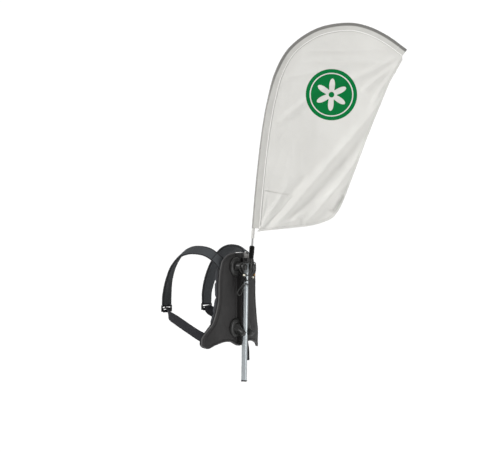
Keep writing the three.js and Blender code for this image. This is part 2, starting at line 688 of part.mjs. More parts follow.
// ---- Assembly ---------------------------------------------------------------------------------
const group = new THREE.Group();
const tube = tubeGroup();
tube.position.set(0, -tubeStandoff, 0);
tube.rotation.x = tubeTilt;
piece(tube, 'holder_nut', headNut(), look.steel());
group.add(harness(), tube, holder(), mast(), lashing());
piece(group, 'holder_head', holderHead(), look.steel());
export default group;
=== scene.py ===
import math

import bmesh
import bpy
import numpy as np
from mathutils import Matrix, Vector, noise


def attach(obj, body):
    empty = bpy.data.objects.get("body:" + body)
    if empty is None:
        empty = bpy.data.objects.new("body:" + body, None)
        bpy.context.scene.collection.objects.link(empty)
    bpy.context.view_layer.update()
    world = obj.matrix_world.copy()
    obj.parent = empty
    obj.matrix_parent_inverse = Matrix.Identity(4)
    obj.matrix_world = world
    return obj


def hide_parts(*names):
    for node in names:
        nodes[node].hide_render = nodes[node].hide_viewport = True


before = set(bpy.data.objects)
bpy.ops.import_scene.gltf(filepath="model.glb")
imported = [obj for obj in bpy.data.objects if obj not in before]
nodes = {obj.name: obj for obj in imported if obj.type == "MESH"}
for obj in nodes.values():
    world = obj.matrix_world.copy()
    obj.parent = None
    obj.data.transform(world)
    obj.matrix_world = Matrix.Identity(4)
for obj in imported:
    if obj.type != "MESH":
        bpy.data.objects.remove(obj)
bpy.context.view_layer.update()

# ---- Where it is seen from ------------------------------------------------------------------
# The flag is seen from behind the wearer's left shoulder, nearly level, through a long lens. It
# hangs over a plain pale floor, as high as someone standing there would wear it.
azimuth, elevation = math.radians(-52), math.radians(2)
view_right = Vector((math.cos(azimuth), math.sin(azimuth), 0))
view_back = Vector((math.sin(azimuth) * math.cos(elevation),
                    -math.cos(azimuth) * math.cos(elevation), math.sin(elevation)))
view_up = view_back.cross(view_right)
view_distance, view_width = 60.0, 1.95
middle_right, middle_up = 0.0878, 0.3024
lens = bpy.data.cameras.new("long_lens")
lens.sensor_width = 36.0
lens.lens = lens.sensor_width * view_distance / view_width
lens.clip_end = 1200
camera = bpy.data.objects.new("long_lens", lens)
bpy.context.scene.collection.objects.link(camera)
eye = view_right * middle_right + view_up * middle_up + view_back * view_distance
camera.matrix_world = Matrix((
    (view_right.x, view_up.x, view_back.x, eye.x),
    (view_right.y, view_up.y, view_back.y, eye.y),
    (view_right.z, view_up.z, view_back.z, eye.z),
    (0, 0, 0, 1)))
bpy.context.scene.camera = camera

floor_height = -1.28
floor_half = 500.0
floor_mesh = bpy.data.meshes.new("floor")
floor_mesh.from_pydata([(x * floor_half, y * floor_half, floor_height)
                        for x, y in ((-1, -1), (1, -1), (1, 1), (-1, 1))], [], [(0, 1, 2, 3)])
floor = bpy.data.objects.new("floor", floor_mesh)
bpy.context.scene.collection.objects.link(floor)
pale = bpy.data.materials.new("pale_floor")
pale.use_nodes = True
pale_shader = pale.node_tree.nodes["Principled BSDF"]
pale_shader.inputs["Base Color"].default_value = (0.98, 0.98, 0.98, 1)
pale_shader.inputs["Roughness"].default_value = 0.9
floor_mesh.materials.append(pale)

# A white studio, brighter overhead than at its walls, with one broad key high on the left and a
# narrow strip low on the right for the tube. The walls themselves look white from every side.
bpy.context.scene.view_settings.view_transform = "Standard"
overhead, at_walls = 0.70, 0.27
studio = bpy.data.worlds.new("studio")
studio.use_nodes = True
sky = studio.node_tree
facing = sky.nodes.new("ShaderNodeSeparateXYZ")
height = sky.nodes.new("ShaderNodeMapRange")
height.inputs["To Min"].default_value = at_walls
height.inputs["To Max"].default_value = overhead
sky.links.new(sky.nodes.new("ShaderNodeTexCoord").outputs["Generated"], facing.inputs[0])
sky.links.new(facing.outputs["Z"], height.inputs["Value"])
sky.nodes["Background"].inputs["Color"].default_value = (1, 1, 1, 1)
white_wall = sky.nodes.new("ShaderNodeMath")
white_wall.operation = "MAXIMUM"
sky.links.new(height.outputs[0], white_wall.inputs[0])
sky.links.new(sky.nodes.new("ShaderNodeLightPath").outputs["Is Camera Ray"], white_wall.inputs[1])
sky.links.new(white_wall.outputs[0], sky.nodes["Background"].inputs["Strength"])
bpy.context.scene.world = studio

key = bpy.data.lights.new("key_light", "SUN")
key.energy = 2.8
key.angle = math.radians(24)
key_holder = bpy.data.objects.new("key_light", key)
key_way = view_right * -0.85 + view_back * 0.42 + Vector((0, 0, 0.75))
key_holder.rotation_euler = key_way.to_track_quat("Z", "Y").to_euler()
bpy.context.scene.collection.objects.link(key_holder)

strip = bpy.data.lights.new("tube_light", "AREA")
strip.shape = "RECTANGLE"
strip.size, strip.size_y = 0.12, 1.6
strip.energy = 17
strip_holder = bpy.data.objects.new("tube_light", strip)
strip_holder.location = view_right * 2.0 + view_back * 1.05 + Vector((0, 0, 0.1))
strip_holder.rotation_euler = (-strip_holder.location).to_track_quat("-Z", "Y").to_euler()
bpy.context.scene.collection.objects.link(strip_holder)

# ---- Lashing cords --------------------------------------------------------------------------
# Two loops of black braided elastic tie the tube's top to the upper horns, pulled tight by a
# cord lock. The slack end of the outer loop hangs below the lock in a small bight.
cord_radius = 0.002


def metres(places):
    return [Vector(place) * 0.001 for place in places]


def curve_point(places, share):
    """A point on the smooth line through some places, at a share of the way from first to last."""
    at = share * (len(places) - 1)
    i = min(int(at), len(places) - 2)
    p1, p2 = places[i], places[i + 1]
    p0 = places[i - 1] if i > 0 else p1 * 2 - p2
    p3 = places[i + 2] if i + 2 < len(places) else p2 * 2 - p1
    steps = [max((b - a).length, 1e-9) ** 0.5 for a, b in ((p0, p1), (p1, p2), (p2, p3))]
    start = (p1 - p0) / steps[0] - (p2 - p0) / (steps[0] + steps[1]) + (p2 - p1) / steps[1]
    end = (p2 - p1) / steps[1] - (p3 - p1) / (steps[1] + steps[2]) + (p3 - p2) / steps[2]
    start, end = start * steps[1], end * steps[1]
    w = at - i
    return (p1 + start * w + (p2 * 3 - p1 * 3 - start * 2 - end) * w ** 2
            + (p1 * 2 - p2 * 2 + start + end) * w ** 3)


def curve_through(places, count, span=(0, 1)):
    """Evenly spaced points on the smooth line through some places, over a span of its length."""
    fine = [curve_point(places, i / 600) for i in range(601)]
    run = np.concatenate([[0], np.cumsum([(b - a).length for a, b in zip(fine, fine[1:])])])
    wanted = np.linspace(span[0] * run[-1], span[1] * run[-1], count)
    return [Vector(p) for p in zip(*(np.interp(wanted, run, [q[k] for q in fine]) for k in range(3)))]


def map_piece(mesh, name, values):
    """Gives a mesh a UV map from one pair of values for each vertex."""
    layer = mesh.uv_layers.new(name=name)
    corners = np.array([loop.vertex_index for loop in mesh.loops])
    layer.data.foreach_set("uv", np.array(values, dtype=np.float32)[corners].ravel())


def make_piece(name, vertices, faces, uvs=None, edges=None):
    """A mesh object with its faces turned outward. Its maps are cut, in metres, and edges."""
    mesh = bpy.data.meshes.new(name)
    mesh.from_pydata([tuple(v) for v in vertices], [], faces)
    for layer_name, values in (("cut", uvs), ("edges", edges)):
        if values is not None:
            map_piece(mesh, layer_name, values)
    made = bpy.data.objects.new(name, mesh)
    bpy.context.scene.collection.objects.link(made)
    tidy_faces(made)
    mesh.shade_smooth()
    return made


def tidy_faces(made):
    work = bmesh.new()
    work.from_mesh(made.data)
    bmesh.ops.remove_doubles(work, verts=work.verts, dist=1e-6)
    bmesh.ops.dissolve_degenerate(work, edges=work.edges, dist=1e-7)
    bmesh.ops.recalc_face_normals(work, faces=work.faces)
    work.to_mesh(made.data)
    work.free()


def crisp(made, degrees=35):
    """Keeps the edges that turn by more than an angle sharp."""
    made.data.set_sharp_from_angle(angle=math.radians(degrees))
    return made


def swept(name, line, section, facings=None, shape=None):
    """A closed body: a section of (across, out) places carried along a line, whose outer side
    looks the way facings say. shape(i, across, out) may move a place at station i. Its UV map
    is metres round the section and metres along the line."""
    around = [0.0]
    for a, b in zip(section, section[1:] + section[:1]):
        around.append(around[-1] + math.dist(a, b))
    n = len(section)
    run, out, vertices, uvs, faces = 0.0, None, [], [], []
    for i, at in enumerate(line):
        along = (line[min(i + 1, len(line) - 1)] - line[max(i - 1, 0)]).normalized()
        if facings is not None:
            out = facings[i]
        elif out is None:
            out = along.orthogonal()
        across = out.cross(along).normalized()
        out = along.cross(across)
        run += (at - line[i - 1]).length if i else 0.0
        for k in range(n + 1):
            a, o = section[k % n]
            if shape:
                a, o = shape(i, a, o)
            vertices.append(at + across * a + out * o)
            uvs.append((around[k], run))
    for i in range(len(line) - 1):
        for k in range(n):
            low = i * (n + 1) + k
            faces.append((low, low + 1, low + n + 2, low + n + 1))
    last = (len(line) - 1) * (n + 1)
    faces.append(tuple(range(n - 1, -1, -1)))
    faces.append(tuple(last + k for k in range(n)))
    return make_piece(name, vertices, faces, uvs)


def disc(radius, sides):
    turn = 2 * math.pi / sides
    return [(radius * math.cos(turn * k), radius * math.sin(turn * k)) for k in range(sides)]


def sight(*levels):
    """A colour as the eye grades it, 0 to 255 for red, green and blue, turned into light."""
    return tuple(((level / 255 + 0.055) / 1.055) ** 2.4 for level in levels)


class Finish:
    """A material in the making: its shader, and short ways to lay nodes on it. A colour is
    given as the eye grades it, 0 to 255 for red, green and blue."""

    def __init__(self, name, color, roughness, metallic=0.0, shine=0.5, sheen=0.0):
        self.material = bpy.data.materials.new(name)
        self.material.use_nodes = True
        self.tree = self.material.node_tree
        self.shader = self.tree.nodes["Principled BSDF"]
        self.shader.inputs["Base Color"].default_value = (*sight(*color), 1)
        for socket, value in (("Roughness", roughness), ("Metallic", metallic),
                              ("Specular IOR Level", shine), ("Sheen Weight", sheen)):
            self.shader.inputs[socket].default_value = value

    def node(self, kind, **settings):
        made = self.tree.nodes.new("ShaderNode" + kind)
        for name, value in settings.items():
            setattr(made, name, value)
        return made

    def link(self, source, target):
        self.tree.links.new(source, target)

    def math(self, operation, *values):
        made = self.node("Math", operation=operation)
        for socket, value in zip(made.inputs, values):
            if isinstance(value, (int, float)):
                socket.default_value = value
            else:
                self.link(value, socket)
        return made.outputs[0]

    def cut(self, layer="cut"):
        """The two directions of the UV map, in metres."""
        split = self.node("SeparateXYZ")
        self.link(self.node("UVMap", uv_map=layer).outputs[0], split.inputs[0])
        return split.outputs[0], split.outputs[1]

    def places(self, stretch=(1, 1, 1)):
        mapping = self.node("Mapping")
        mapping.inputs["Scale"].default_value = stretch
        self.link(self.node("TexCoord").outputs["Object"], mapping.inputs["Vector"])
        return mapping.outputs[0]

    def mottle(self, scale, detail=3, stretch=(1, 1, 1)):
        grain = self.node("TexNoise")
        grain.inputs["Scale"].default_value = scale
        grain.inputs["Detail"].default_value = detail
        self.link(self.places(stretch), grain.inputs["Vector"])
        return grain.outputs["Fac"]

    def pebbles(self, scale):
        cells = self.node("TexVoronoi")
        cells.inputs["Scale"].default_value = scale
        self.link(self.places(), cells.inputs["Vector"])
        return cells.outputs["Distance"]

    def spread(self, value, low, high, start=0.3, end=0.7):
        ranged = self.node("MapRange")
        for socket, number in zip(("From Min", "From Max", "To Min", "To Max"), (start, end, low, high)):
            ranged.inputs[socket].default_value = number
        self.link(value, ranged.inputs["Value"])
        return ranged.outputs[0]

    def tint(self, value, dark, light):
        mixed = self.node("Mix", data_type="RGBA")
        for socket, part in ((mixed.inputs[6], dark), (mixed.inputs[7], light)):
            if isinstance(part, tuple):
                socket.default_value = (*sight(*part), 1)
            else:
                self.link(part, socket)
        self.link(value, mixed.inputs[0])
        return mixed.outputs[2]

    def patches(self, scale, dark, light):
        """Soft patches between two tones."""
        return self.tint(self.spread(self.mottle(scale), 0, 1), dark, light)

    def wave(self, value, pitch):
        """A sine wave along a value in metres."""
        return self.math("SINE", self.math("MULTIPLY", value, 2 * math.pi / pitch))

    def stripe(self, value, middle, half):
        """One within a band about a value, and nothing outside it."""
        return self.math("LESS_THAN", self.math("ABSOLUTE", self.math("SUBTRACT", value, middle)), half)

    def color(self, tinted):
        self.link(tinted, self.shader.inputs["Base Color"])

    def roughness(self, value, low, high):
        self.link(self.spread(value, low, high), self.shader.inputs["Roughness"])

    def bump(self, height, depth):
        raised = self.node("Bump")
        raised.inputs["Distance"].default_value = depth
        self.link(height, raised.inputs["Height"])
        last = self.shader.inputs["Normal"]
        if last.is_linked:
            self.link(last.links[0].from_socket, raised.inputs["Normal"])
        self.link(raised.outputs[0], last)


def put_on(made, finish, slot, body, *replaced):
    """Gives a piece its finish and lets it ride a body for its CAD nodes. The slot is not used."""
    made.data.materials.clear()
    made.data.materials.append(finish.material)
    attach(made, body)
    if replaced:
        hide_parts(*replaced)
    return made


cord_braid = Finish("black_braided_elastic", (20, 20, 20), 0.7, shine=0.15)
around, along = cord_braid.cut()
strand_pitch = 0.0026
# Painted highlight: the crests of the braid's strands are painted light grey over the black cord; the same
# waves raise them in the bump.
braid_crests_and_highlight = cord_braid.math("MAXIMUM", cord_braid.wave(cord_braid.math("ADD", around, along), strand_pitch),
                          cord_braid.wave(cord_braid.math("SUBTRACT", around, along), strand_pitch))
cord_braid.color(cord_braid.tint(cord_braid.spread(braid_crests_and_highlight, 0, 1, -0.2, 1), (17, 17, 17), (76, 76, 75)))
cord_braid.bump(braid_crests_and_highlight, 0.00022)
cord_braid.bump(cord_braid.mottle(2500), 0.00008)

inner_lash = metres([(-40.9, -92, 148), (-38, -95, 160), (-19, -104, 165), (0, -107.6, 165),
                     (19, -104, 165), (38, -95, 160), (40.9, -92, 146), (38, -95, 130),
                     (19, -104, 117), (0, -107, 112), (-19, -104, 117), (-38, -95, 130),
                     (-40.9, -92, 144)])
outer_lash = metres([(-30, -106, 107.5), (-30, -106, 116), (-31, -106.5, 123), (-38, -108.5, 131),
                     (-40.3, -108, 143), (-37, -109, 158), (-20, -117, 162), (0, -126, 159),
                     (20, -117, 162), (37, -109, 158), (40.3, -108, 144), (38, -108, 126),
                     (22, -108, 104), (0, -107.5, 92), (-14, -106, 94), (-22.4, -106, 97)])
slack_route = metres([(-30, -106, 88.5), (-31, -104.5, 80), (-37, -98.5, 69.5), (-44, -91, 58),
                      (-46.8, -87, 47), (-43.6, -86, 38.6), (-35.6, -86.4, 34.8), (-27.6, -88, 38.6),
                      (-24.4, -91, 47.5), (-24.2, -95, 58), (-23.6, -99, 69), (-19.6, -101.8, 77.6),
                      (-11.5, -104.2, 80.6), (-3.5, -106.2, 76), (2.5, -106.8, 67.5), (8, -105.4, 58)])
for node, route in (("lash_cord_inner", inner_lash), ("lash_cord_outer", outer_lash)):
    lash = swept(node + "_braided", curve_through(route, 150), disc(cord_radius, 14))
    put_on(lash, cord_braid, "cord", "harness", node)
slack_line = curve_through(slack_route, 80)
slack = put_on(swept("slack_cord_braided", slack_line, disc(cord_radius, 14)),
               cord_braid, "cord", "harness", "slack_cord")

# ---- Back shell -----------------------------------------------------------------------------
# One sheet of black polyethylene foam skinned with plastic, vacuum formed to the wearer's back:
# straight sides, wings at the hips, a pressed line inside its rim and a valley beside the rail.
shell_top, shell_drop, shell_depth, shell_wall = 0.200, 0.034, 0.060, 0.004
waist_half, shell_wrap, wrap_power = 0.115, 0.011, 3.5


def spline_table(places):
    """Many points along an outline drawn through places given in millimetres."""
    p = np.array([places[0]] + places + [places[-1]]) * 0.001
    rows = []
    for i in range(1, len(p) - 2):
        w = np.linspace(0, 1, 60)[:, None]
        start, end = (p[i + 1] - p[i - 1]) / 2, (p[i + 2] - p[i]) / 2
        rows.append(p[i] + start * w + (p[i + 1] * 3 - p[i] * 3 - start * 2 - end) * w ** 2
                    + (p[i] * 2 - p[i + 1] * 2 + start + end) * w ** 3)
    return np.concatenate(rows)


side_table = spline_table([(178, -160), (176, -132), (163, -106), (142, -76), (129, -38),
                           (117, 20), (115, 95), (109, 140), (102, 166)])
low_table = spline_table([(0, -163), (120, -159), (280, -148), (500, -147), (720, -158),
                          (880, -172), (1000, -160)])


def outline(inset, widest=9.0):
    """Places on the shell's outline patch, drawn in from every edge: (u, v) to (x, z)."""
    def at(u, v):
        share = abs(u)
        height = low_table[-1, 1] + (shell_top - shell_drop - low_table[-1, 1]) * v
        half = min(float(np.interp(height, side_table[:, 1], side_table[:, 0])), widest + inset)
        wing = side_table[0, 0]
        low_share = share * (half - inset) / wing if widest < wing else share
        low = float(np.interp(low_share, low_table[:, 0], low_table[:, 1])) + inset
        high = shell_top - shell_drop * share ** 3.5 - inset
        return u * (half - inset), low + (high - low) * v
    return at


def shell_face(x, z):
    lean = 0.008 * ((z - 0.15) / 0.05) ** 2 if z > 0.15 else 0.0
    return -shell_depth + shell_wrap * (abs(x) / waist_half) ** wrap_power + lean


def slab(name, columns, rows, layers):
    """A closed body of stacked layers from its far side to its near side. Each layer is an
    outline and a depth; the first and last are whole faces and those between are only rims."""
    border = ([(c, 0) for c in range(columns)] + [(columns, r) for r in range(rows)]
              + [(c, rows) for c in range(columns, 0, -1)] + [(0, r) for r in range(rows, 0, -1)])
    vertices, uvs, faces, rims = [], [], [], []
    for number, (at, depth) in enumerate(layers):
        whole = number in (0, len(layers) - 1)
        cells = [(c, r) for r in range(rows + 1) for c in range(columns + 1)] if whole else border
        first = len(vertices)
        for c, r in cells:
            x, z = at(2 * c / columns - 1, r / rows)
            vertices.append((x, depth(x, z, c / columns, r / rows), z))
            uvs.append((x, z))
        if whole:
            rims.append([first + r * (columns + 1) + c for c, r in border])
            for r in range(rows):
                for c in range(columns):
                    low = first + r * (columns + 1) + c
                    faces.append((low, low + 1, low + columns + 2, low + columns + 1))
        else:
            rims.append(list(range(first, first + len(border))))
    for upper, lower in zip(rims, rims[1:]):
        for k in range(len(border)):
            after = (k + 1) % len(border)
            faces.append((upper[k], upper[after], lower[after], lower[k]))
    return make_piece(name, vertices, faces, uvs)


def rounded_layers(inset, far, near, radius, widest=9.0, steps=5):
    layers = []
    for k in range(steps + 1):
        turn = math.pi / 2 * k / steps
        shift = radius * (1 - math.cos(turn))
        layers.append((outline(inset + radius * (1 - math.sin(turn)), widest),
                       lambda x, z, u, v, shift=shift: far(x, z) + shift))
    for k in range(steps + 1):
        turn = math.pi / 2 * k / steps
        shift = radius * (1 - math.sin(turn))
        layers.append((outline(inset + radius * (1 - math.cos(turn)), widest),
                       lambda x, z, u, v, shift=shift: near(x, z) - shift))
    return layers


def hump(distance, centre, width):
    return math.exp(-((distance - centre) / width) ** 2)


def from_rim(x, z):
    half = float(np.interp(z, side_table[:, 1], side_table[:, 0]))
    share = min(abs(x) / half, 1.0)
    low = float(np.interp(share, low_table[:, 0], low_table[:, 1]))
    high = shell_top - shell_drop * share ** 3.5
    return min((half - abs(x)) * 0.96, high - z, z - low)


def pressed_face(x, z, u, v):
    """The shell's outer face with the lines that the forming tool pressed into it."""
    edge = from_rim(x, z)
    pressed = 0.0022 * hump(edge, 0.0110, 0.0026) - 0.0014 * hump(edge, 0.0060, 0.0028)
    valley = 0.0026 * hump(abs(x), 0.0205, 0.0048) * min(1, max(0, (z + 0.150) / 0.02))
    return shell_face(x, z) + pressed + valley


shell_layers = rounded_layers(0.0, shell_face, lambda x, z: shell_face(x, z) + shell_wall, 0.0017)
shell_layers[0] = (shell_layers[0][0], pressed_face)
shell = slab("moulded_back_shell", 180, 150, shell_layers)
shell_skin = Finish("moulded_black_skin", (43, 42, 42), 0.55, shine=0.22)
map_piece(shell.data, "rim", [(from_rim(v.co.x, v.co.z), 0) for v in shell.data.vertices])
shell.data.uv_layers.active_index = 0
skin_tint = shell_skin.patches(9, (38, 37, 37), (46, 45, 45))
# Painted highlight: a lighter band, broken by noise, within about 4 mm of the rim where the rounded edge
# catches the light.
painted_rim_highlight = shell_skin.math("MULTIPLY", shell_skin.spread(shell_skin.cut("rim")[0], 1, 0, 0.0012, 0.0042),
                         shell_skin.spread(shell_skin.mottle(25), 0.5, 1))
shell_skin.color(shell_skin.tint(painted_rim_highlight, skin_tint, (84, 83, 83)))
shell_skin.roughness(shell_skin.mottle(40), 0.5, 0.64)
shell_skin.bump(shell_skin.pebbles(900), 0.00016)
shell_skin.bump(shell_skin.mottle(60, 2), 0.0006)
put_on(shell, shell_skin, "shell", "harness", "back_shell")

# ---- Rim piping -----------------------------------------------------------------------------
# A bead of cord wrapped in black bias tape, sewn in behind the shell's edge in two runs that
# stop at the shoulder straps.
piping_radius, piping_clearance = 0.0024, 0.0011
lower_stop, upper_stop = 0.86, 0.48
lower_run = ([(-1, lower_stop * (9 - i) / 9) for i in range(10)]
             + [(-1 + i / 11, 0) for i in range(1, 23)] + [(1, lower_stop * i / 9) for i in range(1, 10)])
upper_run = [(upper_stop * (i / 4 - 1), 1) for i in range(9)]
bias_tape = Finish("black_bias_tape", (26, 26, 27), 0.75, shine=0.15)
around, along = bias_tape.cut()
twill = bias_tape.math("SINE", bias_tape.math("MULTIPLY", bias_tape.math("ADD", around, along), 7000))
bias_tape.color(bias_tape.tint(bias_tape.spread(twill, 0, 1, -1, 1), (18, 18, 19), (34, 34, 35)))
bias_tape.bump(twill, 0.0001)
bias_tape.bump(bias_tape.mottle(300), 0.0003)
for node, run in (("rim_piping_lower", lower_run), ("rim_piping_upper", upper_run)):
    centres = []
    for u, v in run:
        x, z = outline(piping_radius + 0.0002)(u, v)
        centres.append(Vector((x, shell_face(x, z) + shell_wall + piping_radius + piping_clearance, z)))
    put_on(swept(node + "_bound", curve_through(centres, 24 * len(centres)), disc(piping_radius, 12)),
           bias_tape, "piping", "harness", node)

# ---- Core, board and back pad ---------------------------------------------------------------
# A block of black foam in a knitted gusset fills the shell. A stiff plastic board closes it,
# and the pad that lies on the wearer's back is soft foam under spacer mesh, sewn in channels.
pad_thick, board_thick, fit_gap = 0.024, 0.004, 0.0003
core_front = -pad_thick - board_thick - 2 * fit_gap
core = slab("foam_core_gusset", 60, 50, rounded_layers(
    0.009, lambda x, z: shell_face(x, z) + shell_wall + 0.0015, lambda x, z: core_front, 0.006, 0.128, 6))
gusset_knit = Finish("knitted_gusset", (34, 34, 35), 0.9, shine=0.15, sheen=0.03)
gusset_knit.color(gusset_knit.tint(gusset_knit.spread(gusset_knit.pebbles(1300), 0, 1, 0, 0.6),
                                   (24, 24, 25), (44, 44, 46)))
gusset_knit.bump(gusset_knit.pebbles(1300), 0.0003)
gusset_knit.bump(gusset_knit.mottle(45), 0.0015)
put_on(core, gusset_knit, "foam", "harness", "core_block")

board_plastic = Finish("board_plastic", (40, 40, 41), 0.5)
board_plastic.color(board_plastic.patches(14, (34, 34, 35), (46, 46, 47)))
board_plastic.roughness(board_plastic.mottle(120), 0.4, 0.6)
board_plastic.bump(board_plastic.mottle(1200), 0.00008)


def refinish(node, finish):
    for slot in nodes[node].material_slots:
        slot.material = finish.material


refinish("frame_board", board_plastic)

channel_heights = (-0.098, -0.036, 0.026, 0.088, 0.142)
spine_half = 0.017
pad_swell = 0.007


def puffed(made, voxel, pressure, cap):
    """Blows a padded piece up as filled fabric, moving no point further than the cap."""
    made.data.remesh_voxel_size = voxel
    remesh = made.modifiers.new("even", "REMESH")
    remesh.mode = "VOXEL"
    remesh.voxel_size = voxel
    settle(made)
    start = [v.co.copy() for v in made.data.vertices]
    cloth = made.modifiers.new("fill", "CLOTH")
    cloth.settings.use_pressure = True
    cloth.settings.uniform_pressure_force = pressure
    cloth.settings.quality = 6
    cloth.settings.effector_weights.gravity = 0
    cloth.collision_settings.use_collision = False
    for step in range(1, 21):
        bpy.context.scene.frame_set(step)
    settle(made)
    bpy.context.scene.frame_set(1)
    for vertex, home in zip(made.data.vertices, start):
        moved = vertex.co - home
        if moved.length > cap:
            vertex.co = home + moved * (cap / moved.length)


def settle(made):
    """Turns a piece's modifiers into plain mesh."""
    graph = bpy.context.evaluated_depsgraph_get()
    mesh = bpy.data.meshes.new_from_object(made.evaluated_get(graph))
    made.modifiers.clear()
    made.data = mesh


def channel_depth(x, z):
    """How deep the pad's sewn channels pull its face in."""
    deep = max(hump(z, height, 0.0065) for height in channel_heights)
    return 0.0062 * max(deep, hump(abs(x), spine_half, 0.006))


pad = slab("spacer_mesh_back_pad", 56, 60, rounded_layers(
    0.015 + pad_swell * 0.4, lambda x, z: -pad_thick + 0.0006, lambda x, z: -0.0045, 0.007, 0.122, 5))
puffed(pad, 0.005, 4.0, pad_swell)
smooth = pad.modifiers.new("round", "SUBSURF")
smooth.levels = smooth.render_levels = 1
settle(pad)
for vertex in pad.data.vertices:
    x, y, z = vertex.co
    share = min(1, max(0, (y + 0.019) / 0.014))
    vertex.co.y = min(max(y - share * channel_depth(x, z), -pad_thick), 0.0)
pad.data.shade_smooth()
spacer_mesh = Finish("spacer_mesh", (42, 43, 45), 0.85, shine=0.15, sheen=0.03)
holes = spacer_mesh.spread(spacer_mesh.pebbles(310), 0, 1, 0.12, 0.34)
spacer_mesh.color(spacer_mesh.tint(holes, (12, 12, 13), (58, 59, 62)))
spacer_mesh.bump(holes, 0.0006)
spacer_mesh.bump(spacer_mesh.mottle(2200), 0.0001)
put_on(pad, spacer_mesh, "pad_mesh", "harness", "back_pad")

# ---- Spine rail -----------------------------------------------------------------------------
# A straight moulded rail down the shell's middle with a round bed along its crest for the tube.
rail_half, rail_low, rail_high, rail_crest = 0.012, -0.150, 0.160, -0.0813
tube_radius, tube_standoff, tube_tilt = 0.011, 0.088, math.radians(1.2)
horn_base = -shell_depth - fit_gap
bed_radius = tube_radius + fit_gap


def rail_section(height):
    """The rail's section as (x, y) places at one height, since the tube leans along it."""
    axis = -tube_standoff - math.tan(tube_tilt) * height
    round_edge = 0.0022
    corner = [(rail_half - round_edge + round_edge * math.cos(t),
               rail_crest + round_edge - round_edge * math.sin(t))
              for t in (math.pi / 2 * k / 5 for k in range(6))]
    reach = min(0.98, (rail_crest - axis) / bed_radius)
    open_angle = math.acos(reach)
    bed = [(bed_radius * math.sin(t), axis + bed_radius * math.cos(t))
           for t in (open_angle * (1 - k / 8) for k in range(17))]
    right = [(rail_half, horn_base)] + corner
    return right + bed + [(-x, y) for x, y in reversed(right)]


rail_rows = 40
heights = [rail_low + (rail_high - rail_low) * i / rail_rows for i in range(rail_rows + 1)]
sections = [rail_section(h) for h in heights]
n = len(sections[0])
rail = make_piece(
    "bedded_spine_rail",
    [(x, y, h) for h, section in zip(heights, sections) for x, y in section],
    [(i * n + k, i * n + (k + 1) % n, (i + 1) * n + (k + 1) % n, (i + 1) * n + k)
     for i in range(rail_rows) for k in range(n)]
    + [tuple(range(n)), tuple(rail_rows * n + k for k in range(n))])
crisp(rail, 40)
rail_skin = Finish("moulded_rail_skin", (40, 39, 39), 0.5, shine=0.22)
rail_skin.color(rail_skin.patches(12, (34, 33, 33), (43, 42, 42)))
rail_skin.roughness(rail_skin.mottle(40), 0.45, 0.6)
rail_skin.bump(rail_skin.pebbles(900), 0.00014)
put_on(rail, rail_skin, "shell", "harness", "spine_rail")

# ---- Horns and their bolts ------------------------------------------------------------------
# Four injection moulded pegs on round flanges, each cut straight where it meets the rail. Each
# is held by a steel bolt put in through the board from the wearer's side.
horn_half_spacing = 0.0255
upper_reach, lower_reach = 0.115, 0.106
lower_droop = math.radians(29)


def turned(name, profile, sides=64, place=None, close=True):
    """A round body about +Z from (radius, height) places in millimetres, low end first."""
    rows = len(profile)
    run = [0.0]
    for a, b in zip(profile, profile[1:]):
        run.append(run[-1] + math.dist(a, b) * 0.001)
    vertices, uvs = [], []
    for (radius, height), length in zip(profile, run):
        for k in range(sides + 1):
            turn = 2 * math.pi * k / sides
            vertices.append((radius * 0.001 * math.cos(turn), radius * 0.001 * math.sin(turn),
                             height * 0.001))
            uvs.append((k / sides * 0.07, length))
    wide = sides + 1
    faces = [(r * wide + k, r * wide + k + 1, (r + 1) * wide + k + 1, (r + 1) * wide + k)
             for r in range(rows - 1) for k in range(sides)]
    if not close:
        faces += [((rows - 1) * wide + k, (rows - 1) * wide + k + 1, k + 1, k) for k in range(sides)]
    made = make_piece(name, vertices, faces, uvs)
    if place is not None:
        made.data.transform(place)
    return crisp(made)


def softened(profile, radius=0.8, steps=4):
    """A profile with its corners rounded, in millimetres."""
    points = [Vector(p) for p in profile]
    soft = [tuple(points[0])]
    for before, corner, after in zip(points, points[1:], points[2:]):
        to, away = before - corner, after - corner
        reach = min(radius, to.length * 0.45, away.length * 0.45)
        a, b = corner + to.normalized() * reach, corner + away.normalized() * reach
        for k in range(steps + 1):
            w = k / steps
            soft.append(tuple(a * (1 - w) ** 2 + corner * 2 * w * (1 - w) + b * w ** 2))
    return soft + [tuple(points[-1])]


def trimmed(made, point, normal):
    """Cuts away what lies beyond a plane and closes the cut."""
    work = bmesh.new()
    work.from_mesh(made.data)
    geometry = list(work.verts) + list(work.edges) + list(work.faces)
    cut = bmesh.ops.bisect_plane(work, geom=geometry, plane_co=point, plane_no=normal,
                                 clear_outer=True, dist=1e-7)
    rim = [e for e in cut["geom_cut"] if isinstance(e, bmesh.types.BMEdge)]
    bmesh.ops.holes_fill(work, edges=rim)
    bmesh.ops.recalc_face_normals(work, faces=work.faces)
    work.to_mesh(made.data)
    work.free()


def joined(name, *parts):
    """Several closed bodies of one moulding as one object."""
    work = bmesh.new()
    for part in parts:
        work.from_mesh(part.data)
    mesh = bpy.data.meshes.new(name)
    work.to_mesh(mesh)
    work.free()
    for part in parts:
        bpy.data.objects.remove(part)
    made = bpy.data.objects.new(name, mesh)
    bpy.context.scene.collection.objects.link(made)
    mesh.shade_smooth()
    return crisp(made, 40)


